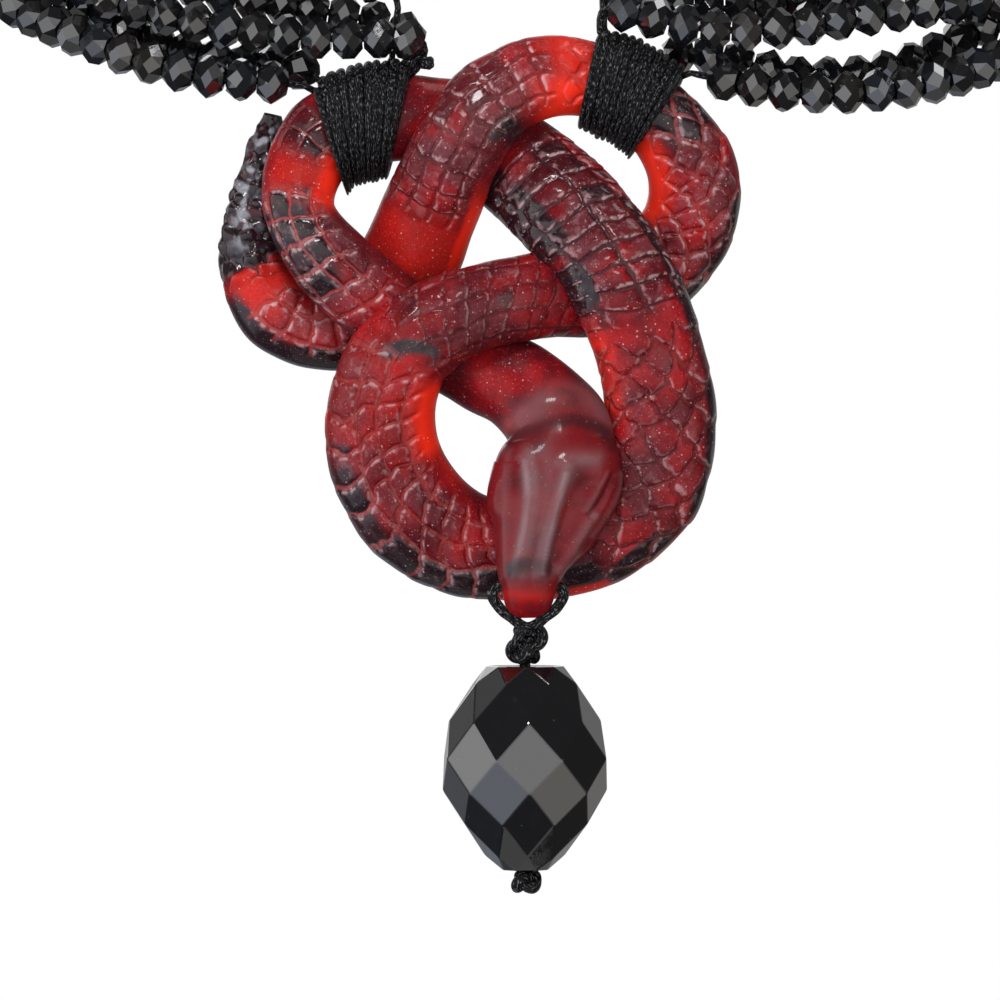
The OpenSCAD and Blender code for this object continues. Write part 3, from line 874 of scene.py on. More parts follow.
@dataclass(frozen=True)
class ScaleZone:
    """Scales over a stretch of the snake, from one row of its table to another."""

    first: float
    last: float
    layout: Layout
    length: float
    around: int
    rise: float
    red_groove: float
    # Angle of the section at which the scales turn into plain plates, and how far that reaches
    ribs_at: float | None = None
    rib_reach: float = 34.0
    # Angles of the section where the scales fade away
    bare_at: tuple[float, ...] = ()
    # How far rows slant, free edges bow towards the tail, and scales tip up
    shear: float = 0.0
    arch: float = 0.22
    tilt: float = 0.5

    def grid(self, along: np.ndarray, across: np.ndarray) -> tuple[np.ndarray, np.ndarray]:
        """Two coordinates in which each scale is a unit square.

        In a rib's reach the way round stands still, so that only cross lines are left.

        Args:
            along: length travelled, in scales.
            across: the way round from the side, in scales.

        Returns:
            The coordinate that the free edges bow along, and the other.
        """
        if self.ribs_at is not None:
            reach = self.rib_reach / 360
            if self.ribs_at < 90:
                across = np.maximum(across, np.floor(reach * self.around) + 0.5)
            else:
                across = np.minimum(across, np.ceil((0.5 - reach) * self.around) - 0.5)
        if self.layout is Layout.SQUARE:
            return along + self.shear * across + self.arch * bow(across), across
        first, second = along + across, along - across
        return first + self.arch * bow(second), second + self.arch * bow(first)


@dataclass(frozen=True)
class Stroke:
    """A ridge or a groove drawn on the front, through points (x, height over the snout's tip)."""

    first: float
    last: float
    points: tuple
    width: float
    rise: float
    # Stain, painted light and painted shade laid along the stroke, and how much of it
    stain_and_light: StainAndLight | None = None
    amount: float = 0.0


@dataclass
class Snake:
    """The knotted snake: one skin swept along its course, with scales, carved head, stains and
    painted light and shade.
    """

    rings: int = 1120
    front_steps: int = 62
    back_steps: int = 26
    # How far the scales stray from an even grid, and how unevenly their lines are cut, in
    # scales, each with its wavelength
    sway: float = 0.16
    sway_wave: float = 8.0
    cut: float = 0.05
    cut_wave: float = 1.9
    # Height and wavelength of the whole skin's unevenness
    uneven: tuple = (0.1, 7.0)
    # Rows over which scales, patches of stain and painted light, and lumps fade, to each side of
    # their first and last row
    scale_fade: float = 0.13
    patch_fade: float = 0.35
    lump_fade: float = 0.3
    # Share of the way round after which it is counted back from the start, behind the snake
    seam: float = 0.78
    # Sines of the section's angle between which scales set in, rise in full and strokes set in
    scales_from: tuple = (-0.75, -0.1)
    scales_full: tuple = (0.15, 0.65)
    strokes_from: tuple = (-0.1, 0.25)
    # Rise of the scales at the body's outline, and the rise at which they show in full
    outline_rise: float = 0.3
    full_rise: float = 0.24
    # Degrees from a bare angle between which scales set in again
    bare_reach: tuple = (38.0, 60.0)
    # A scale: width of its sloping rim, its least height, its chance part, and how deep it is set
    pad_rim: float = 0.2
    pad_least: float = 0.75
    pad_chance: float = 0.4
    pad_sunk: float = 0.4
    # Columns: x, height over the snout's tip, width, depth behind the middle plane, thickness
    course: tuple = (
        (-25.2, 56.4, 1.8, 3.0, 1.6), (-26.1, 52.2, 4.0, 3.0, 3.4), (-27.3, 46.7, 5.8, 3.1, 4.8),
        (-27.7, 41.1, 7.3, 3.2, 6.0), (-25.6, 35.6, 9.1, 3.4, 7.2), (-20.9, 32.9, 9.8, 3.8, 7.8),
        (-15.6, 34.0, 10.7, 4.2, 8.2), (-11.1, 38.7, 11.1, 4.0, 8.4), (-8.0, 45.1, 10.9, 1.2, 8.4),
        (-5.0, 51.6, 10.0, -3.0, 8.4), (-1.0, 57.3, 9.7, -3.4, 8.2), (4.9, 60.2, 9.1, -2.2, 8.0),
        (11.6, 59.6, 8.3, -0.9, 7.8), (17.3, 56.1, 8.6, 0.2, 7.8), (21.2, 50.4, 10.0, 1.3, 8.2),
        (21.1, 44.4, 10.4, 2.8, 8.2), (17.3, 39.3, 10.4, 3.4, 8.2), (11.3, 36.7, 10.0, 2.8, 8.2),
        (5.3, 36.2, 9.6, 0.0, 8.2), (-0.2, 35.2, 9.3, -2.8, 8.2), (-5.8, 33.4, 9.8, -4.2, 8.2),
        (-10.6, 29.9, 11.1, -4.0, 8.4), (-13.0, 24.2, 11.8, -2.4, 8.6),
        (-12.8, 18.2, 12.4, -0.8, 8.8), (-9.8, 12.4, 12.7, 0.6, 8.8), (-4.9, 8.9, 12.0, 2.2, 8.4),
        (1.1, 7.8, 11.1, 2.8, 8.0), (6.9, 8.2, 11.3, 2.8, 8.2), (12.4, 10.7, 12.0, 1.8, 8.8),
        (16.7, 15.6, 12.4, 0.6, 8.8), (17.9, 21.8, 12.2, -0.8, 8.8), (17.0, 28.2, 12.0, -2.2, 8.8),
        (14.7, 34.9, 12.0, -3.3, 8.6), (11.3, 41.1, 11.8, -3.0, 8.6), (6.6, 46.4, 12.2, -1.0, 8.4),
        (1.6, 50.9, 11.6, 2.0, 8.4), (-3.3, 54.7, 10.2, 3.4, 8.2), (-8.9, 55.9, 9.6, 1.7, 7.8),
        (-14.0, 55.4, 9.2, 0.1, 7.8), (-19.0, 53.9, 9.8, -0.8, 7.8), (-21.7, 49.9, 8.7, -1.6, 7.6),
        (-22.0, 44.9, 7.8, -2.6, 7.4), (-18.7, 39.8, 8.7, -3.2, 7.8), (-13.6, 35.3, 9.1, -1.6, 8.0),
        (-8.2, 31.6, 9.3, 2.2, 8.0), (-2.9, 28.6, 9.8, 2.2, 8.2), (2.4, 25.8, 10.2, 0.0, 8.2),
        (6.1, 21.7, 11.5, -2.4, 8.2), (6.4, 16.6, 14.2, -3.6, 8.0), (5.3, 13.2, 14.0, -4.0, 7.9),
        (4.6, 10.2, 12.0, -4.2, 7.6), (3.5, 6.8, 8.3, -4.2, 6.8), (3.2, 3.4, 6.1, -4.2, 5.8),
        (3.1, 1.3, 4.6, -4.2, 3.8), (3.1, 0.4, 2.0, -4.2, 1.6),
    )
    # Rows between which more or fewer rings are spent, and how many times as many
    fine_rows: tuple = ((46.0, 54.0, 1.8), (11.9, 13.0, 0.5), (36.8, 38.9, 0.5))
    zones: tuple = (
        ScaleZone(0.2, 3.5, Layout.DIAMOND, 2.9, 6, 0.26, 0.0, arch=0.3),
        ScaleZone(3.9, 6.9, Layout.SQUARE, 2.7, 9, 0.26, 0.9, bare_at=(5, 180), arch=0.05),
        ScaleZone(
            8.2, 11.0, Layout.SQUARE, 2.5, 12, 0.26, 0.3, bare_at=(180,), arch=0.08, tilt=0.7,
        ),
        ScaleZone(11.26, 12.3, Layout.DIAMOND, 4.2, 8, 0.26, 1.0, bare_at=(190,), arch=0.1),
        ScaleZone(
            12.9, 16.9, Layout.DIAMOND, 3.9, 8, 0.32, 0.8, ribs_at=0, bare_at=(180,), arch=0.08,
        ),
        ScaleZone(17.3, 20.78, Layout.SQUARE, 2.3, 10, 0.14, 0.1, shear=0.4, arch=0.1),
        ScaleZone(
            21.06, 26.9, Layout.SQUARE, 2.95, 12, 0.32, 0.9, ribs_at=180, bare_at=(0,), shear=-0.5,
            arch=0.16,
        ),
        ScaleZone(27.6, 31.6, Layout.DIAMOND, 4.3, 8, 0.32, 0.3, ribs_at=180, arch=0.12, tilt=0.8),
        ScaleZone(31.86, 34.7, Layout.SQUARE, 2.2, 7, 0.34, 0.0, shear=0.45, arch=0.08, tilt=1.0),
        ScaleZone(39.1, 39.9, Layout.SQUARE, 2.6, 10, 0.26, 0.9, bare_at=(0,), arch=0.05),
        ScaleZone(
            40.6, 44.3, Layout.SQUARE, 2.6, 10, 0.3, 0.95, bare_at=(0,), shear=0.2, arch=0.08,
        ),
    )
    # Lumpy stretches. Columns: first row, last row, height, wavelength
    lumps: tuple = ((-1.0, 3.5, 0.34, 2.2), (19.4, 21.3, 0.13, 2.0), (32.0, 34.4, 0.09, 1.8))
    # Stains and painted light and shade: glow is painted light coming through thin resin, smoke is
    # smoky stain and painted shade at crossings and creases, haze is milky haze and a painted
    # sheen. Columns: first row, last row, angle of the section, spread, amount
    patches: tuple = (
        (StainAndLight.CLEAN, (
            (46.4, 54.5, 90, 400, 1.0), (-0.5, 3.4, 90, 400, 0.8),
        )),
        (StainAndLight.GLOW, (
            (3.2, 4.3, 85, 70, 0.45), (4.3, 5.8, 60, 70, 0.22), (38.9, 41.2, 14, 62, 1.0),
            (39.9, 40.7, 90, 60, 0.4), (12.8, 15.3, 168, 58, 1.0), (10.6, 12.7, 152, 74, 1.0),
            (11.0, 12.7, 60, 70, 0.6), (6.6, 8.7, 160, 26, 1.0), (6.8, 8.4, 100, 80, 0.3),
            (21.2, 23.2, 11, 54, 1.0), (23.0, 24.4, 2, 36, 0.35), (20.9, 22.7, 110, 90, 0.14),
            (30.2, 31.9, 16, 40, 0.55), (34.3, 35.8, 4, 30, 0.7), (25.6, 28.6, 172, 30, 0.6),
            (51.9, 52.4, 90, 100, 0.28),
        )),
        (StainAndLight.SMOKE, (
            (-0.5, 3.3, 90, 400, 1.0), (3.6, 7.2, 168, 58, 0.85), (40.9, 42.4, 130, 62, 1.0),
            (39.0, 39.8, 100, 60, 0.9), (9.0, 10.6, 75, 70, 0.5), (9.4, 10.3, 150, 60, 0.75),
            (32.2, 33.1, 25, 50, 1.0), (33.1, 35.5, 42, 44, 0.8), (31.9, 34.9, 90, 80, 0.5),
            (12.7, 13.7, 60, 70, 0.8), (14.4, 16.8, 8, 46, 1.0), (16.3, 18.6, 60, 70, 0.42),
            (18.6, 20.95, 90, 110, 0.42), (40.3, 42.4, 80, 80, 0.47), (28.4, 31.8, 90, 110, 0.2),
            (46.5, 52.3, 90, 240, 0.47), (22.7, 25.4, 156, 46, 1.0), (24.9, 26.4, 140, 34, 0.8),
            (26.4, 27.7, 130, 22, 0.95), (27.6, 28.8, 148, 26, 0.95), (28.8, 33.5, 170, 34, 0.85),
            (43.8, 44.9, 150, 50, 0.7),
        )),
        (StainAndLight.HAZE_AND_PAINTED_SHEEN, (
            (8.2, 11.2, 90, 80, 1.0), (11.2, 12.4, 50, 50, 0.3), (13.0, 16.0, 90, 90, 1.0),
            (27.4, 31.6, 90, 95, 0.42), (31.8, 35.4, 90, 95, 0.9), (40.4, 44.5, 90, 90, 1.0),
            (18.6, 24.0, 100, 70, 0.6), (24.0, 26.4, 100, 70, 0.5), (3.6, 6.4, 105, 80, 1.0),
        )),
    )
    # Strokes with milk paint highlights along the head's ridges and hood, the silver stroke paints
    # highlights on the tail's lumps, the haze stroke paints a sheen, and smoke adds stain and
    # painted shade in valleys and creases
    strokes: tuple = (
        Stroke(-0.5, 3.7, (
            (-25.8, 55.6), (-26.9, 51.2), (-28.0, 48.6), (-28.8, 45.0), (-27.9, 42.2),
        ), 1.5, 0.0, StainAndLight.PAINTED_SILVER_HIGHLIGHT, 1.0),
        Stroke(46.6, 53, (
            (1.0, 19.0), (0.7, 17.0), (0.6, 13.0), (0.5, 9.0), (0.4, 5.0),
        ), 0.5, 0.15, StainAndLight.MILK_AND_PAINTED_HIGHLIGHT, 0.2),
        Stroke(46.9, 53, (
            (3.2, 18.4), (3.6, 16.4), (3.7, 13.8), (3.4, 11.2), (2.8, 8.6), (2.0, 5.4),
        ), 1.0, 0.34, StainAndLight.MILK_AND_PAINTED_HIGHLIGHT, 0.52),
        Stroke(47.2, 53, (
            (2.8, 17.6), (3.0, 15.6), (3.1, 13.4), (2.8, 11.0), (2.3, 8.6), (1.6, 5.2),
        ), 0.5, 0.12, StainAndLight.MILK_AND_PAINTED_HIGHLIGHT, 0.95),
        Stroke(46.9, 51, (
            (4.8, 18.2), (5.2, 15.6), (4.7, 12.8), (4.1, 10.4),
        ), 1.5, 0.12, StainAndLight.MILK_AND_PAINTED_HIGHLIGHT, 0.3),
        Stroke(49, 53, (
            (1.7, 5.9), (2.9, 6.2), (4.1, 6.2), (5.1, 5.9),
        ), 2.0, 0.0, StainAndLight.SMOKE, 0.7),
        Stroke(48.6, 53, ((4.3, 10.8), (3.8, 8.4), (3.2, 5.6)), 0.6, -0.2),
        Stroke(46.6, 53, (
            (1.9, 17.4), (2.0, 14.2), (1.9, 11.4), (1.5, 8.0),
        ), 0.8, -0.1, StainAndLight.SMOKE, 0.4),
        Stroke(46.9, 53, (
            (7.4, 17.2), (6.8, 15.4), (6.1, 13.2), (5.5, 11.0), (4.9, 8.6), (4.3, 5.4),
        ), 0.9, 0.4, StainAndLight.MILK_AND_PAINTED_HIGHLIGHT, 0.5),
        Stroke(47.6, 53, (
            (7.2, 16.2), (6.5, 13.6), (5.9, 11.2), (5.3, 8.8), (4.6, 5.4),
        ), 0.45, 0.1, StainAndLight.MILK_AND_PAINTED_HIGHLIGHT, 0.95),
        Stroke(46.9, 49, ((6.6, 17.6), (8.6, 18.0), (10.6, 18.0)), 1.0, 0.1, StainAndLight.MILK_AND_PAINTED_HIGHLIGHT, 0.45),
        Stroke(47.4, 53, (
            (9.4, 15.2), (8.0, 12.8), (7.0, 10.2), (5.9, 6.8),
        ), 0.9, -0.45, StainAndLight.SMOKE, 0.5),
        Stroke(48, 53, (
            (10.4, 11.8), (9.0, 9.4), (7.6, 6.8), (6.4, 5.4),
        ), 0.6, 0.35, StainAndLight.MILK_AND_PAINTED_HIGHLIGHT, 0.4),
        Stroke(47, 51, ((12.5, 16.2), (11.3, 13.7), (10.0, 11.6)), 0.4, -0.35, StainAndLight.SMOKE, 0.35),
        Stroke(47, 51, ((11.8, 16.4), (10.5, 14.0), (9.4, 12.2)), 0.35, 0.26, StainAndLight.MILK_AND_PAINTED_HIGHLIGHT, 0.22),
        Stroke(47, 51, (
            (13.4, 16.4), (13.2, 14.6), (11.9, 12.0), (10.2, 9.4),
        ), 0.3, 0.15, StainAndLight.MILK_AND_PAINTED_HIGHLIGHT, 0.3),
        Stroke(46, 48.4, (
            (0.8, 19.6), (2.8, 20.8), (5.2, 21.7), (8.3, 22.2), (11.0, 21.2), (12.6, 19.4),
        ), 1.9, -0.12, StainAndLight.SMOKE, 0.62),
        Stroke(19.6, 22.4, (
            (-12.3, 29.8), (-9.7, 30.3), (-7.2, 29.6),
        ), 1.1, -0.15, StainAndLight.SMOKE, 0.95),
        Stroke(45, 47.4, (
            (1.4, 21.6), (3.4, 23.4), (6.6, 24.9), (9.6, 24.4), (12.2, 21.8),
        ), 1.5, 0.25, StainAndLight.MILK_AND_PAINTED_HIGHLIGHT, 0.34),
        Stroke(40.5, 44.9, (
            (-19.4, 42.8), (-16.2, 39.4), (-12.8, 36.8), (-9.2, 34.8),
        ), 0.45, 0.3, StainAndLight.HAZE_AND_PAINTED_SHEEN, 0.5),
    )

    def rows(self) -> np.ndarray:
        """The course as rings, closer where detail is fine.

        Returns:
            Columns: x, y, z, width, thickness and row number.
        """
        x, height, width, depth, thickness = np.array(self.course).T
        places = np.stack([x, depth, height], axis=1) + SNAKE_PLACE
        line = fine_line(np.column_stack([places, width, thickness, np.arange(len(x))]))
        density = np.ones(len(line))
        fade = 0.25
        for first, last, times in self.fine_rows:
            density *= 1 + (times - 1) * between(line[:, 5], first - fade, last + fade, fade)
        lengths = travelled(line)
        spent = np.cumsum(np.diff(lengths) * (density[1:] + density[:-1]) / 2)
        spent = np.concatenate([[0.0], spent])
        return rows_at(line, np.interp(np.linspace(0, spent[-1], self.rings), spent, lengths))

    def surface(self) -> tuple[Surface, dict[str, np.ndarray]]:
        """The skin and the values that its finish reads.

        A ring's point is its middle, plus the side vector times half the width and the cosine of
        its angle, plus the front vector times half the thickness and the sine. Scales, strokes,
        lumps and a soft unevenness then push it out along the section's own normal.

        Returns:
            The skin, and its marks by name.
        """
        rows = self.rows()
        way = headings(rows)
        side = unit(np.cross(way, BACK))
        front = unit(np.cross(way, side))
        angle = np.concatenate([
            np.linspace(0, math.pi, self.front_steps, endpoint=False),
            np.linspace(math.pi, TURN, self.back_steps + 1),
        ])
        cos, sin = np.cos(angle)[None, :], np.sin(angle)[None, :]
        half_w, half_t = rows[:, 3:4] / 2, rows[:, 4:5] / 2
        bare = rings_round(rows[:, :3], side, front, half_w * cos, half_t * sin)
        chord = np.linalg.norm(np.diff(bare, axis=1), axis=2)
        share = np.concatenate([np.zeros((len(rows), 1)), np.cumsum(chord, axis=1)], axis=1)
        share /= share[:, -1:]
        p, q, scaled, tilt, red_groove = self.scale_map(rows, bare, share, angle)
        # Scales lie flatter towards the body's outline.
        flatter = self.outline_rise + (1 - self.outline_rise) * step(sin, *self.scales_full)
        out = self.scale_relief(p, q, scaled * flatter, tilt)
        marks = self.stains_and_light(rows, angle)
        out += self.draw_strokes(rows, bare, sin, marks)
        out += self.uneven[0] * rolling(bare, self.uneven[1], 3)
        for first, last, height, wavelength in self.lumps:
            here = between(rows[:, 5:6], first, last, self.lump_fade)
            out += height * here * rolling(bare, wavelength, 21)
        normal = unit(rings_round(np.zeros_like(side), side, front, half_t * cos, half_w * sin))
        points = bare + normal * out[..., None]
        marks["scaled"] = np.clip(scaled / self.full_rise, 0, 1)
        marks["red_groove"] = red_groove
        poles = [0.0, 0.0]
        for name, values in marks.items():
            marks[name] = np.append(values[:, :-1].reshape(-1), poles)
        return skin(points[:, :-1], p, q), marks

    def scale_map(
        self, rows: np.ndarray, bare: np.ndarray, share: np.ndarray, angle: np.ndarray
    ) -> tuple[np.ndarray, ...]:
        """Where each point lies in the scales.

        A zone's scales follow the length travelled and the share of the way round, both swayed by
        soft noise.

        Args:
            rows: the rings.
            bare: the skin's points before any relief.
            share: how far round its ring each point is, from 0 to 1.
            angle: each point's angle.

        Returns:
            Two coordinates in which a scale is a unit square, the rise of the scales, how far they
            tip up along each coordinate, and how red their grooves are.
        """
        reached, row = travelled(rows)[:, None], rows[:, 5:6]
        turn = np.where(share > self.seam, share - 1, share)
        p, q, scaled, red_groove = (np.zeros(share.shape) for _ in range(4))
        tilt = np.zeros((2, *share.shape))
        showing = step(np.sin(angle), *self.scales_from)[None, :]
        sways = [
            self.sway * rolling(bare, self.sway_wave, seed)
            + self.cut * rolling(bare, self.cut_wave, seed + 2)
            for seed in (11, 12)
        ]
        for zone in self.zones:
            here = between(row, zone.first, zone.last, self.scale_fade)
            inside = np.broadcast_to(here > 0, share.shape)
            along, across = reached / zone.length + sways[0], turn * zone.around + sways[1]
            first, second = zone.grid(along, across)
            p, q = np.where(inside, first, p), np.where(inside, second, q)
            rise = here * showing * zone.rise
            for bare_angle in zone.bare_at:
                away = turned_from(np.degrees(angle)[None, :], bare_angle)
                rise = rise * step(away, *self.bare_reach)
            scaled = np.maximum(scaled, rise)
            tips = [zone.tilt, zone.tilt if zone.layout is Layout.DIAMOND else 0.0]
            tilt = np.where(inside, np.array(tips)[:, None, None], tilt)
            red_groove = np.where(inside, zone.red_groove, red_groove)
        return p, q, scaled, tilt, red_groove

    def scale_relief(
        self, p: np.ndarray, q: np.ndarray, scaled: np.ndarray, tilt: np.ndarray
    ) -> np.ndarray:
        """How far the scales stand out: a flat pad over a groove, its tail end tipped up.

        A pad rises softly with the distance to its nearer side, and a little more or less by
        chance: the digits after the point of a large sine of its number.

        Args:
            p: first coordinate in the scales.
            q: second coordinate.
            scaled: the rise of the scales.
            tilt: how far they tip up along each coordinate.

        Returns:
            How far each point is pushed out.
        """
        inside_p, inside_q = p - np.floor(p), q - np.floor(q)
        edge = 0.5 - np.maximum(np.abs(inside_p - 0.5), np.abs(inside_q - 0.5))
        pad = step(edge, 0.0, self.pad_rim)
        chance = np.sin(np.floor(p) * 12.9898 + np.floor(q) * 78.233) * 43758.5453
        chance -= np.floor(chance)
        tipped = (0.5 - inside_p) * tilt[0] + (0.5 - inside_q) * tilt[1]
        rise = self.pad_least + self.pad_chance * chance + tipped
        return scaled * (pad * rise - self.pad_sunk)

    def stains_and_light(self, rows: np.ndarray, angle: np.ndarray) -> dict[str, np.ndarray]:
        """The patches of stain and of painted light and shade, each a soft spot over some rows and
        round one angle.

        Args:
            rows: the rings.
            angle: each point's angle.

        Returns:
            For each stain and each painted light and shade, how much of it each point shows.
        """
        row, degrees = rows[:, 5:6], np.degrees(angle)[None, :]
        marks = {stain_and_light.value: np.zeros((len(rows), len(angle))) for stain_and_light in StainAndLight}
        for stain_and_light, patches in self.patches:
            for first, last, middle, spread, amount in patches:
                away = turned_from(degrees, middle)
                spot = between(row, first, last, self.patch_fade)
                spot = amount * spot * (1 - step(away, spread * 0.5, spread * 1.15))
                marks[stain_and_light.value] = np.maximum(marks[stain_and_light.value], spot)
        return marks

    def draw_strokes(
        self, rows: np.ndarray, bare: np.ndarray, sin: np.ndarray, marks: dict[str, np.ndarray]
    ) -> np.ndarray:
        """Ridges and grooves drawn on the front.

        A point rises by the stroke's height times a bell curve of its distance, seen from the
        front, to the stroke's line.

        Args:
            rows: the rings.
            bare: the skin's points before any relief.
            sin: how far each point faces the front.
            marks: the stains and painted light and shade, to which a stroke may add its own.

        Returns:
            How far each point is pushed out.
        """
        out = np.zeros(bare.shape[:2])
        facing = step(sin, *self.strokes_from)
        for stroke in self.strokes:
            picked = np.flatnonzero((rows[:, 5] > stroke.first) & (rows[:, 5] < stroke.last))
            seen = bare[picked][..., [0, 2]] - SNAKE_PLACE[[0, 2]]
            path = fine_line(np.array(stroke.points), 8)
            away = np.linalg.norm(seen[:, :, None] - path[None, None], axis=3).min(axis=2)
            bell = np.exp(-((away / stroke.width) ** 2)) * facing
            out[picked] += stroke.rise * bell
            if stroke.stain_and_light is not None:
                values = marks[stroke.stain_and_light.value]
                values[picked] = np.maximum(values[picked], stroke.amount * bell)
        return out

    def build(self, resin: bpy.types.Material) -> None:
        """Makes the snake in place of its solid.

        Args:
            resin: its finish.
        """
        surface, marks = self.surface()
        piece = surface.build("snake_skin", resin, NECKLACE, "resin", marks=marks)
        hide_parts("snake")


# The wound cord

@dataclass
class WoundSleeve:
    """A sleeve of cord wound round a loop of the snake and the strands' threads."""

    name: str
    node: str
    turns: int
    # Columns: upper edge's x and height, lower edge's x and height, depth behind the middle plane
    table: tuple
    # Loose end of thinner cord, from under the sleeve's rim to its knot: x, depth, height
    loose_end: tuple = ()
    loose_width: float = 0.9
    # The knot: its width, its lumps as a share of it, and their wavelength on a ball of radius 1
    knot_width: float = 1.7
    knot_lumps: float = 0.12
    knot_wave: float = 1.1
    thick: float = 11.4
    cord_half: float = 0.6
    # How deep the under layer's middle lies, in half cords
    under: float = 2.6
    # How far turns stray in depth, and along the sleeve in rows of its table
    stray_depth: float = 0.09
    stray_along: float = 0.022
    # Half a turn's width against its pitch, the turns over which its ends thin out, and to what
    overlap: float = 0.51
    taper: float = 0.12
    tip: float = 0.15
    steps_per_turn: int = 64
    sides: int = 12
    seed: int = 1

    def ring(
        self, row: np.ndarray, angle: np.ndarray, inset: np.ndarray
    ) -> tuple[np.ndarray, np.ndarray]:
        """Points of the sleeve's oval section and the way outwards at them.

        Args:
            row: where along the sleeve, in rows of its table.
            angle: where round it, 0 at its upper edge.
            inset: how deep under the sleeve's outside.

        Returns:
            The points and their outward directions.
        """
        r = smooth(np.array(self.table), row)
        top = np.stack([r[:, 0], r[:, 4], r[:, 1]], axis=1) + SNAKE_PLACE
        foot = np.stack([r[:, 2], r[:, 4], r[:, 3]], axis=1) + SNAKE_PLACE
        up = unit(top - foot)
        half, deep = np.linalg.norm(top - foot, axis=1) / 2, self.thick / 2
        cos, sin = np.cos(angle), np.sin(angle)
        points = (top + foot) / 2 + up * ((half - inset) * cos)[:, None]
        points = points + BACK * ((deep - inset) * sin)[:, None]
        return points, unit(up * (cos / half)[:, None] + BACK * (sin / deep)[:, None])

    def layer(self, depth: float, phase: float) -> Surface:
        """One layer of turns: a flattened cord that follows a helix round the sleeve's section.

        Args:
            depth: how deep its middle lies under the sleeve's outside.
            phase: where round the sleeve it starts, in turns.

        Returns:
            The cord's skin.
        """
        last = len(self.table) - 1
        turn = np.linspace(0, self.turns, self.turns * self.steps_per_turn + 1)
        row = last * (turn / self.turns * (1 - 1 / self.turns) + 0.5 / self.turns)
        angle = TURN * (turn + phase)
        draw = np.random.default_rng(self.seed)
        knots = np.linspace(0, self.turns, self.turns * 3)
        inset, strayed = (
            np.interp(turn, knots, draw.normal(0, stray, len(knots)))
            for stray in (self.stray_depth, self.stray_along)
        )
        inset, row = depth + inset, np.clip(row + strayed, 0, last)
        middle, out = self.ring(row, angle, inset)
        half_pitch = last / self.turns / 2
        ahead, _ = self.ring(np.minimum(row + half_pitch, last), angle, inset)
        behind, _ = self.ring(np.maximum(row - half_pitch, 0), angle, inset)
        half_wide = np.linalg.norm(ahead - behind, axis=1, keepdims=True) * self.overlap
        started = step(turn, 0, self.taper)
        ending = step(turn, self.turns - self.taper, self.turns)
        full = np.minimum(started, 1 - ending)[:, None]
        middle = middle - out * (1 - full) * self.cord_half
        round_angle = np.linspace(0, TURN, self.sides + 1)
        cos, sin = np.cos(round_angle[:-1])[None, :], np.sin(round_angle[:-1])[None, :]
        size = self.tip + (1 - self.tip) * full
        across, deep = half_wide * size * cos, self.cord_half * size * sin
        rings = rings_round(middle, unit(ahead - behind), out, across, deep)
        return skin(rings, *np.meshgrid(travelled(middle), round_angle / TURN, indexing="ij"))

    def loose(self) -> list[Surface]:
        """The loose end of the cord and the small knot at its tip, a lumpy ball."""
        line = fine_line(np.array(self.loose_end) + SNAKE_PLACE, 8)
        angle = np.linspace(0, TURN, 17)
        height = np.linspace(-1, 1, 13)[1:-1]
        reach, rise = np.sqrt(1 - height**2)[:, None], height[:, None] + 0 * angle[:-1]
        ball = np.stack([reach * np.cos(angle[:-1]), reach * np.sin(angle[:-1]), rise], axis=2)
        lumps = 1 + self.knot_lumps * rolling(ball, self.knot_wave, 31)
        ball *= lumps[..., None] * self.knot_width / 2
        chart = np.meshgrid(height * self.knot_width, angle / TURN, indexing="ij")
        return [cord_skin(line, self.loose_width / 2, 10), skin(ball + line[-1], *chart)]

    def build(self, cord: bpy.types.Material) -> None:
        """Makes the sleeve, two layers deep, in place of its solid.

        Args:
            cord: its finish.
        """
        under = self.cord_half * self.under
        parts = [self.layer(self.cord_half, 0.0), self.layer(under, 0.5)]
        if self.loose_end:
            parts += self.loose()
        piece = joined(parts).build(self.name, cord, NECKLACE, "black_cord")
        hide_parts(self.node)


# The strands

@dataclass
class Clasp:
    """The plain clasp at the nape, a solid of the model that keeps its own shape."""

    width: float = 7.0
    length: float = 20.0
    # How far the strands' threads spread on its face, as a share of the gap between strands
    spread: float = 0.46
    # How far off the face they end, and the way back from there to the point before
    off_face: float = 0.2
    lead_in: tuple = (3.0, -0.6, -0.1)

    def strand_end(self, spot: tuple, gap: float, hand: int) -> np.ndarray:
        """Where a strand's thread ends against the clasp's face.

        Args:
            spot: the strand's place in its bundle.
            gap: the gap between the bundle's strands.
            hand: 1 for the left side, -1 for the right.

        Returns:
            A point just before the end, and the end.
        """
        face = np.array([-hand * (self.length / 2 + self.off_face), self.width / 2, 0.0])
        end = face + np.array([0.0, -spot[0], spot[1]]) * gap * self.spread
        return np.array([end + np.array([-hand, 1, 1]) * self.lead_in, end])

    def build(self, nodes: dict[str, bpy.types.Object], steel: bpy.types.Material) -> None:
        """Gives the clasp's own solid its finish."""
        for place in nodes["clasp"].material_slots:
            place.material = steel


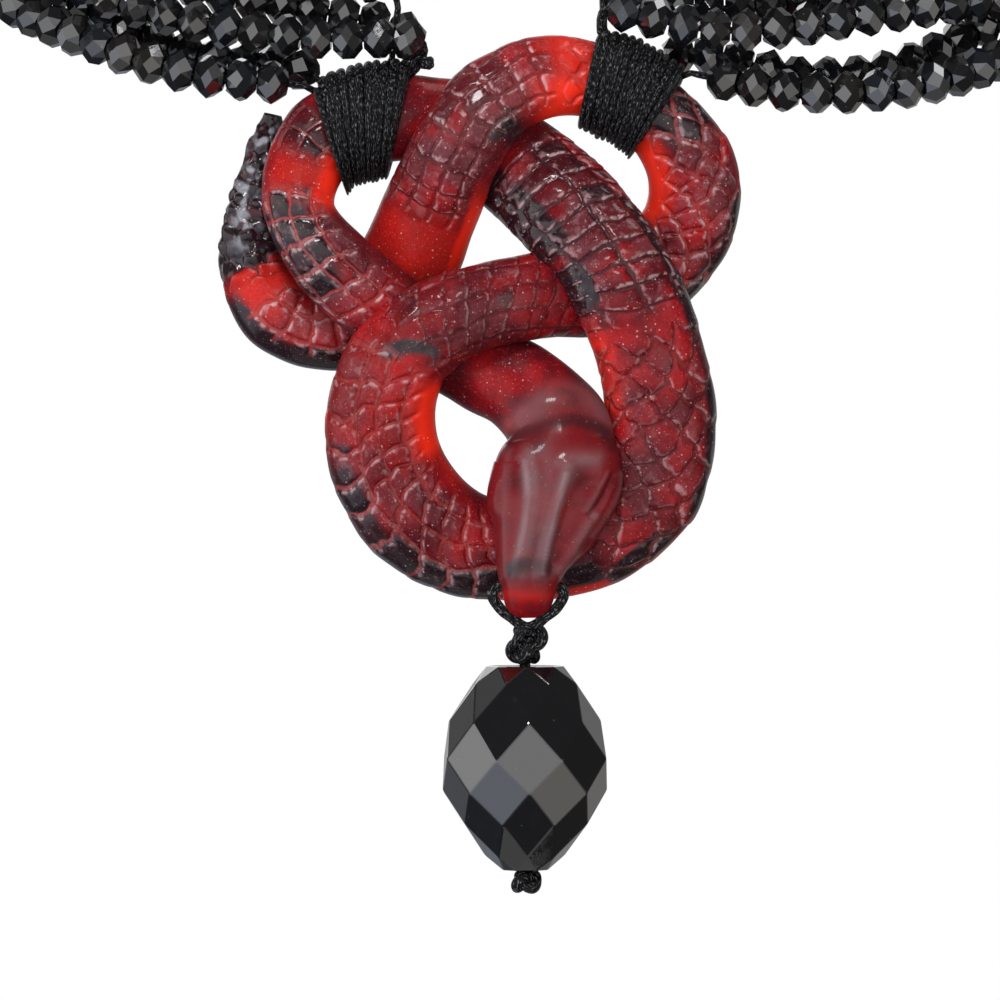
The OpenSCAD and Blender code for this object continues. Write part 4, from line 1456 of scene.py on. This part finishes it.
@dataclass
class StrandSet:
    """The five strands of faceted beads on one side, from the wound cord round the neck."""

    side: str
    hand: int
    # For each strand: x, depth behind the snake's middle plane, height over the snout's tip
    front: tuple
    # Middle of the bundle round the neck: x, y, z
    neck: tuple
    # Bare thread before each strand's first bead
    bare: tuple
    # The sleeve's middle, which the threads come from
    root: tuple
    clasp: Clasp
    # Place of each strand in the bundle, in strand gaps: inwards, up
    places: tuple = ((-0.44, -1.0), (-0.44, 0.0), (0.44, -0.5), (0.44, 0.5), (-0.44, 1.0))
    gap: float = 5.7
    pitch: float = 3.45
    bare_back: float = 18.0
    bead_sides: int = 7
    bead_width: float = 5.1
    bead_length: float = 3.42
    # The bead's rings of corners. Columns: height by its length, radius by half its width
    bead_levels: tuple = ((-0.5, 0.53), (-0.2, 0.901), (0.0, 1.0), (0.2, 0.901), (0.5, 0.53))
    # How far beads are tipped, as a slope, and how much smaller they may be
    bead_tip: float = 0.035
    bead_shrink: float = 0.04
    thread_width: float = 0.8
    thread_in: float = 1.6
    thread_step: float = 0.8
    # How many strands have threads that are nodes of their own
    drilled: int = 2
    seed: int = 500

    def line(self, index: int) -> np.ndarray:
        """The whole course of one strand as a fine line.

        Args:
            index: which strand, from 0.

        Returns:
            Its points.
        """
        visible = np.array(self.front[index]) + SNAKE_PLACE
        middle = np.array(self.neck)
        way = headings(middle)
        inwards = unit(np.cross(way, UP)) * self.hand
        up = unit(np.cross(inwards, way)) * self.hand
        spot = self.places[index]
        bundle = middle + (inwards * spot[0] + up * spot[1]) * self.gap
        end = self.clasp.strand_end(spot, self.gap, self.hand)
        return fine_line(np.concatenate([visible, bundle, end]), 16)

    def bead_shape(self) -> tuple[np.ndarray, list[np.ndarray]]:
        """One bead along +Z, a cut gem with flat ends.

        Returns:
            Its corners, and its faces by their number of corners.
        """
        levels = [(h * self.bead_length, r * self.bead_width / 2) for h, r in self.bead_levels]
        corners, diamonds, triangles = cut_gem(levels, self.bead_sides)
        k = np.arange(self.bead_sides)
        caps = np.stack([k[::-1], (len(levels) - 1) * self.bead_sides + k])
        return corners, [diamonds, triangles, caps]

    def beads(self, line: np.ndarray, index: int) -> tuple[Surface, np.ndarray]:
        """All beads of a strand as one surface.

        Each bead is turned at random about its thread, tipped by a degree or two and scaled by a
        few hundredths, then set along the thread between its own two ends.

        Args:
            line: the strand's course.
            index: which strand, from 0.

        Returns:
            The surface, and a tint for each of its points.
        """
        beaded = travelled(line)[-1] - self.bare[index] - self.bare_back
        count = int(beaded // self.pitch)
        ends = rows_at(line, self.bare[index] + self.pitch * np.arange(count + 1))
        draw = np.random.default_rng(self.seed + 100 * self.hand + 10 * index)
        tipped = draw.normal(0, self.bead_tip, (count, 3)) * self.pitch
        way = unit(np.diff(ends, axis=0) + tipped)
        first = unit(np.cross(way, draw.normal(size=(count, 3))))
        second = np.cross(way, first)
        shape, faces = self.bead_shape()
        local = shape[None] * (1 + draw.uniform(-self.bead_shrink, 0.0, (count, 1, 3)))
        points = (ends[1:] + ends[:-1])[:, None] / 2
        for axis, direction in enumerate((first, second, way)):
            points = points + local[..., axis:axis + 1] * direction[:, None]
        offsets = np.arange(count)[:, None, None] * len(shape)
        groups = [(group[None] + offsets).reshape(-1, group.shape[1]) for group in faces]
        tint = np.repeat(draw.uniform(0, 1, count), len(shape))
        return Surface(points.reshape(-1, 3), groups).facing_out(), tint

    def build(self, glass: bpy.types.Material, cord: bpy.types.Material) -> None:
        """Makes the strands and their threads in place of their solids.

        Args:
            glass: the beads' finish.
            cord: the threads' finish.
        """
        for index in range(len(self.front)):
            line = self.line(index)
            name = f"{self.side}_{index + 1}"
            surface, tint = self.beads(line, index)
            beads = surface.build(
                f"bead_strand_{name}", glass, NECKLACE, "black_glass", False, {"tint": tint}
            )
            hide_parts(f"strand_{name}")
            inwards = unit(np.array(self.root) + SNAKE_PLACE - line[:1])
            even = rows_at(line, np.arange(0, travelled(line)[-1], self.thread_step))
            path = np.concatenate([line[:1] + inwards * self.thread_in, even])
            thread = cord_skin(path, self.thread_width / 2, sides=6, plies=2, lay=3.0)
            thread_piece = thread.build(f"bead_thread_{name}", cord, NECKLACE, "black_cord")
            if index < self.drilled:
                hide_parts(f"thread_{name}")


# The drop

@dataclass
class DropCord:
    """The waxed cord: its loop through the snout, the knots over the bead and the one under it."""

    width: float = 1.3
    # Half of the loop, from the hole's middle: x, height
    loop: tuple = (
        (0.0, 0.0), (2.3, 0.0), (3.5, -0.1), (3.9, -0.9), (3.5, -2.0), (2.45, -3.0), (1.3, -3.9),
        (0.0, -4.6),
    )
    # Knots. Columns: x, height over the hole, radius
    knots: tuple = ((-0.05, -5.7, 2.3), (-0.45, -7.2, 2.1), (-0.25, -32.6, 1.85))
    # Points of the loop, of a knot and of the straight part
    loop_steps: int = 150
    knot_steps: int = 120
    straight_steps: int = 60
    # The first knot's angle about the upright axis, and how much further each next one is turned
    first_turn: float = 0.7
    next_turn: float = 1.1
    # A knot's swing up and down against its reach, and how much thicker its cord is
    knot_swing: float = 0.55
    knot_cord: float = 1.04

    def loop_line(self) -> np.ndarray:
        """The loop's middle line, closed on itself."""
        half = np.array(self.loop)
        whole = np.concatenate([half, half[-2:0:-1] * [-1, 1]])
        count = len(whole)
        table = whole[np.arange(-2, count + 3) % count]
        flat = smooth(table, 2 + np.linspace(0, count, self.loop_steps, endpoint=False))
        return np.stack([flat[:, 0], np.zeros(len(flat)), flat[:, 1]], axis=1)

    def knot_line(self, x: float, height: float, radius: float, turn: float) -> np.ndarray:
        """A simple knot: the middle line of a cord tied once round itself.

        In the plan the line runs round twice while it goes in and out three times.

        Args:
            x: the knot's middle.
            height: its height over the hole.
            radius: its outer radius.
            turn: its angle about the upright axis.

        Returns:
            The line, closed on itself.
        """
        t = np.linspace(0, TURN, self.knot_steps, endpoint=False)
        flat = np.stack([np.sin(t) + 2 * np.sin(2 * t), np.cos(t) - 2 * np.cos(2 * t)], 1) / 3
        reach = radius - self.width / 2
        cos, sin = math.cos(turn), math.sin(turn)
        wide = flat @ np.array([[cos, -sin], [sin, cos]]) * reach
        rise = -np.sin(3 * t) * reach * self.knot_swing
        return np.stack([x + wide[:, 0], wide[:, 1], height + rise], axis=1)

    def build(self, cord: bpy.types.Material) -> None:
        """Makes the cord in place of its solid.

        Args:
            cord: its finish.
        """
        place = SNAKE_PLACE + SNOUT_HOLE
        half = self.width / 2
        parts = [cord_skin(self.loop_line() + place, half, sides=18, lay=2.2, closed=True)]
        for index, knot in enumerate(self.knots):
            line = self.knot_line(*knot, self.first_turn + self.next_turn * index) + place
            thick = half * self.knot_cord
            parts.append(cord_skin(line, thick, sides=14, lay=2.0, closed=True))
        height = np.linspace(self.knots[0][1], self.knots[-1][1], self.straight_steps)
        upright = np.stack([DROP_SHIFT + 0 * height, 0 * height, height], axis=1)
        parts.append(cord_skin(upright + place, half, sides=14))
        piece = joined(parts).build("drop_loop_and_knots", cord, DROP, "black_cord")
        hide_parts("drop_cord")


@dataclass
class DropBead:
    """The large faceted bead: rings of corners, each turned half a corner, with flat facets."""

    sides: int = 8
    levels: tuple = (11.3, 9.4, 5.3, 1.2, -2.4, -6.0, -9.6, -11.2)
    widest: dict = field(default_factory=lambda: {3: 9.5, 4: 9.1})
    hole: float = 2.0
    # The bead's middle under the snout's hole, and its first corner's angle in degrees
    middle: float = -20.1
    turn: float = 3.0
    # Width and steps of the polish on its edges, and the least angle of an edge that has it
    polish: float = 0.16
    polish_steps: int = 2
    polish_from: float = 8.0

    def radius(self, level: int) -> float:
        """Radius of a level's corners.

        It is read off the straight line through the next level's flat and the second next
        level's corner, so the facet through all three stays flat.

        Args:
            level: which ring, from the top.

        Returns:
            The radius.
        """
        if level in self.widest:
            return self.widest[level]
        towards = 1 if level < min(self.widest) else -1
        near, far = level + towards, level + 2 * towards
        shrink = math.cos(math.pi / self.sides)
        rise = self.levels[near] - self.levels[far]
        slope = (self.radius(near) * shrink - self.radius(far)) / rise
        return self.radius(far) + slope * (self.levels[level] - self.levels[far])

    def surface(self) -> Surface:
        """The bead with its drilled hole."""
        count, sides = len(self.levels), self.sides
        turn = math.radians(self.turn)
        levels = [(height, self.radius(i)) for i, height in enumerate(self.levels)]
        corners, diamonds, triangles = cut_gem(levels, sides, turn)
        k = np.arange(sides)
        after = (k + 1) % sides
        rims = []
        for level in (0, count - 1):
            angle = turn + TURN * (k + level % 2 / 2) / sides
            rim = np.stack([np.cos(angle), np.sin(angle)], axis=1) * self.hole / 2
            rims.append(np.column_stack([rim, np.full(sides, self.levels[level])]))
        end, upper, lower = (count - 1) * sides, count * sides, (count + 1) * sides
        quads = np.concatenate([
            diamonds,
            np.column_stack([upper + k, upper + after, after, k]),
            np.column_stack([lower + after, lower + k, end + k, end + after]),
            np.column_stack([upper + after, upper + k, lower + k, lower + after]),
        ])
        place = SNAKE_PLACE + SNOUT_HOLE + [DROP_SHIFT, 0.0, self.middle]
        return Surface(np.concatenate([corners, *rims]) + place, [quads, triangles]).facing_out()

    def build(self, glass: bpy.types.Material) -> None:
        """Makes the bead, its facets' edges barely rounded, in place of its solid.

        Args:
            glass: its finish.
        """
        surface = self.surface()
        tint = np.full(len(surface.points), 0.5)
        piece = surface.build(
            "drop_faceted_bead", glass, DROP, "black_glass", False, {"tint": tint}
        )
        edge = piece.modifiers.new("polished_edges", "BEVEL")
        edge.width = self.polish * MM
        edge.segments = self.polish_steps
        edge.limit_method = "ANGLE"
        edge.angle_limit = math.radians(self.polish_from)
        edge.harden_normals = False
        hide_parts("drop_bead")


# The studio

@dataclass
class Studio:
    """Pale floor, soft lights and a camera square to the front of the snake."""

    lens: float = 200.0
    sensor: float = 36.0
    farthest: float = 50.0
    # Width of the picture at the snake's plane and its middle's height
    picture_width: float = 111.1
    picture_height: float = -135.6
    floor_height: float = -900.0
    floor_half: float = 330.0
    floor_tone: tuple = (0.86, 0.86, 0.86, 1.0)
    # The lights' aim, in metres
    aim: tuple = (0.0, -0.124, -0.12)
    # Lights. Columns: name, place, width and height, all in metres, and power
    soft_boxes: tuple = (
        ("key", (-0.1, -0.72, 0.36), 0.2, 0.14, 3.0),
        ("top", (0.3, -0.1, 0.5), 0.3, 0.3, 1.3),
        ("back", (-0.2, 0.6, 0.1), 0.6, 0.4, 1.0),
    )
    # Brightness of the room, of its pale card, its wall behind and its air over the left shoulder
    dark: float = 0.06
    card: float = 1.64
    wall: float = 0.38
    air: float = 0.3
    # Tints of the light from below, at the left and at the right
    cool: tuple = (0.9, 0.97, 1.12, 1.0)
    warm: tuple = (1.05, 1.0, 0.93, 1.0)

    def build(self) -> None:
        """Sets up the whole studio, with colours shown as they are."""
        bpy.context.scene.view_settings.view_transform = "Standard"
        self.camera()
        self.floor()
        self.lights()
        self.surroundings()

    def camera(self) -> None:
        """The camera, far enough back for the picture's width at the snake's plane."""
        data = bpy.data.cameras.new("camera")
        data.lens, data.sensor_width, data.clip_end = self.lens, self.sensor, self.farthest
        camera = placed("camera", data)
        away = self.picture_width * self.lens / self.sensor
        camera.location = (0.0, (SNAKE_PLACE[1] - away) * MM, self.picture_height * MM)
        camera.rotation_euler = (math.pi / 2, 0.0, 0.0)
        bpy.context.scene.camera = camera

    def floor(self) -> None:
        """A plain pale floor under the hanging necklace."""
        reach, height = self.floor_half * MM, self.floor_height * MM
        mesh = bpy.data.meshes.new("floor")
        corners = [(x * reach, y * reach, height) for x, y in ((-1, -1), (1, -1), (1, 1), (-1, 1))]
        mesh.from_pydata(corners, [], [(0, 1, 2, 3)])
        floor = placed("floor", mesh)
        material, n, shader = Finish("pale_floor").start()
        n.fill(shader, {"Base Color": self.floor_tone, "Roughness": 0.8})
        mesh.materials.append(material)

    def lights(self) -> None:
        """Large soft boxes, all turned to the snake's middle."""
        for name, place, wide, high, power in self.soft_boxes:
            data = bpy.data.lights.new(name, "AREA")
            data.shape = "RECTANGLE"
            data.size, data.size_y, data.energy = wide, high, power
            light = placed(name, data)
            light.location = place
            x, y, z = np.array(place) - self.aim
            tipped, turned = math.atan2(math.hypot(x, y), z), math.atan2(y, x) + math.pi / 2
            light.rotation_euler = (tipped, 0.0, turned)

    def surroundings(self) -> None:
        """A room: white where the camera looks, else dark but for its lit parts.

        A lit part is told by the direction that a ray leaves in. The long pale card reaches from
        the left round the front, and dims towards its foot and its right end, to about half
        where both meet. A wall behind and the air over the left shoulder are dimmer still.
        """
        world = bpy.data.worlds.new("room")
        bpy.context.scene.world = world
        world.use_nodes = True
        world.node_tree.nodes.clear()
        n = Nodes(world.node_tree)
        seen_way = n.add("TexCoord").outputs["Generated"]
        x, y, z = n.add("SeparateXYZ", {"Vector": seen_way}).outputs
        level = n.times(n.slope(z, -0.75, -0.62), n.slope(z, 0.4, 0.26))
        side = n.times(n.slope(x, 0.95, 0.75), n.slope(y, 0.3, 0.0))
        dimmed = n.grown(0.6, n.slope(z, -0.62, 0.1), 0.4)
        dimmed = n.times(dimmed, n.grown(0.85, n.slope(x, 0.2, -1.0), 0.25))
        card = n.times(level, side, dimmed, self.card)
        wall = n.times(n.slope(y, 0.5, 0.8), self.wall)
        air = n.times(n.slope(z, 0.5, 0.65), n.slope(x, 0.1, -0.2), n.slope(y, -0.2, 0.2))
        tone = n.plus(card, wall, n.grown(self.dark, air, self.air))
        tinted = n.mix(n.slope(x, -0.2, 0.5), self.cool, self.warm)
        shade = n.mix(n.slope(z, 0.0, -0.4), WHITE, tinted)
        soft = n.add("Background", {"Color": shade, "Strength": tone}).outputs[0]
        white = n.add("Background", {"Color": WHITE, "Strength": 1.0}).outputs[0]
        seen = n.add("LightPath").outputs["Is Camera Ray"]
        both = n.add("MixShader", {0: seen, 1: soft, 2: white}).outputs[0]
        n.add("OutputWorld", {"Surface": both}, is_active_output=True)


# The strands' fronts. Columns: x, depth behind the snake's middle plane, height over the snout
LEFT_FRONT = (
    (
        (-21.7, -1.9, 59.3), (-26.0, -2.8, 59.7), (-31.2, -3.2, 60.1), (-37.2, -2.6, 61.3),
        (-45.4, 0.7, 64.4),
    ),
    (
        (-9.2, -1.1, 61.2), (-8.3, -2.2, 63.4), (-10.1, -2.7, 64.7), (-17.8, -2.6, 64.4),
        (-27.0, -1.8, 65.2), (-36.7, -0.2, 67.1), (-43.5, 1.8, 69.4),
    ),
    (
        (-20.1, 0.7, 60.0), (-22.6, 2.7, 62.0), (-28.3, 3.9, 62.2), (-35.0, 4.8, 63.5),
        (-41.7, 6.5, 66.3),
    ),
    (
        (-9.4, 2.5, 62.15), (-8.9, 3.5, 64.2), (-10.6, 4.0, 65.8), (-14.2, 3.9, 67.0),
        (-21.6, 3.5, 68.3), (-28.3, 3.6, 69.3), (-36.7, 4.4, 71.5), (-43.0, 6.2, 74.0),
    ),
    (
        (-12.0, 0.7, 62.55), (-11.8, 0.65, 65.4), (-11.4, 0.3, 68.6), (-13.2, -0.8, 70.7),
        (-20.0, -1.8, 72.0), (-28.0, -1.6, 73.2), (-36.7, -0.4, 75.2), (-44.5, 1.6, 77.4),
    ),
)
RIGHT_FRONT = (
    (
        (21.2, -0.4, 60.8), (25.0, -1.8, 59.9), (28.6, -2.6, 59.1), (35.0, -3.0, 58.4),
        (43.6, -1.4, 58.9), (52.4, 3.3, 61.2),
    ),
    (
        (11.2, -1.6, 66.0), (11.4, -2.6, 67.4), (13.4, -3.0, 67.8), (19.5, -3.2, 66.0),
        (25.8, -3.2, 65.3), (33.3, -2.7, 65.9), (43.6, -0.7, 67.7), (52.0, 3.2, 69.1),
    ),
    (
        (17.0, 4.4, 62.4), (19.7, 5.2, 63.4), (23.2, 5.2, 63.7), (28.0, 5.0, 62.2),
        (33.3, 5.0, 60.8), (43.0, 6.4, 61.4), (50.8, 10.0, 64.7),
    ),
    (
        (11.1, 1.8, 65.6), (11.4, 3.0, 68.0), (13.2, 3.4, 69.2), (19.7, 3.6, 68.6),
        (24.9, 3.6, 68.3), (33.3, 3.8, 69.1), (44.5, 6.4, 71.2),
    ),
    (
        (11.6, 0.1, 65.8), (11.4, 0.2, 70.0), (12.2, -0.3, 73.4), (15.6, -0.8, 74.4),
        (22.6, -1.4, 73.4), (33.3, -1.6, 73.4), (43.6, 0.6, 74.8),
    ),
)
# Middles of the bundles round the neck. Columns: x, y, z
LEFT_NECK = (
    (-51.5, -115.2, -74.6), (-59.3, -103, -67), (-64, -86, -56.5), (-65, -68, -44),
    (-61.5, -51, -31.5), (-53, -34, -19.5), (-41.5, -18.5, -9.5), (-28, -7, -3),
)
RIGHT_NECK = (
    (58.3, -111.6, -77.7), (63.8, -98, -69.4), (65.5, -80, -55.5), (63.5, -61, -40),
    (57, -41.5, -25.5), (46, -23.5, -12.5), (29, -7.5, -3.2),
)
# Sleeves. Columns: upper edge's x and height, lower edge's x and height, depth
LEFT_SLEEVE = (
    (-9.4, 62.6, -12.4, 49.2, 1.0), (-13.3, 62.3, -14.1, 48.6, 0.0),
    (-17.2, 61.5, -15.9, 48.2, -0.5), (-21.1, 59.8, -17.0, 47.0, -1.1),
)
LEFT_LOOSE_END = (
    (-10.2, -1.2, 60.6), (-9.6, -1.6, 62.0), (-8.9, -1.7, 62.5), (-8.1, -1.8, 61.8),
)
RIGHT_SLEEVE = (
    (21.2, 61.3, 14.4, 51.1, 0.4), (18.1, 63.3, 13.0, 52.3, -0.1), (14.7, 65.0, 10.9, 53.5, -0.6),
    (10.9, 65.8, 8.3, 54.7, -1.3),
)
# Bare thread before each strand's first bead
LEFT_BARE = (1.9, 3.3, 1.3, 3.3, 8.6)
RIGHT_BARE = (2.3, 2.6, 1.5, 3.2, 8.6)
# The sleeves' middles: x, depth, height
LEFT_ROOT = (-15.2, 0.0, 56.0)
RIGHT_ROOT = (14.6, 0.0, 58.6)


def main(nodes: dict[str, bpy.types.Object]) -> None:
    """Builds the necklace's pieces round the solids, then the studio.

    Args:
        nodes: the solid model's nodes by name.
    """
    logging.basicConfig(level=logging.INFO, format="%(message)s")
    Studio().build()
    dust = dust_group()
    resin = RubyResin().material(dust, scales_group())
    glass = JetGlass().material(dust)
    cord = WaxedCord().material(fibres_group(), dust)
    clasp = Clasp()
    Snake().build(resin)
    for sleeve in (
        WoundSleeve("wound_sleeve_left", "wrap_left", 11, LEFT_SLEEVE, LEFT_LOOSE_END, seed=5),
        WoundSleeve("wound_sleeve_right", "wrap_right", 12, RIGHT_SLEEVE, seed=6),
    ):
        sleeve.build(cord)
    for strands in (
        StrandSet("left", 1, LEFT_FRONT, LEFT_NECK, LEFT_BARE, LEFT_ROOT, clasp),
        StrandSet("right", -1, RIGHT_FRONT, RIGHT_NECK, RIGHT_BARE, RIGHT_ROOT, clasp),
    ):
        strands.build(glass, cord)
    clasp.build(nodes, BrushedSteel().material())
    DropCord().build(cord)
    DropBead().build(glass)


if __name__ == "__main__":
    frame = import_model()
    main(frame["nodes"])
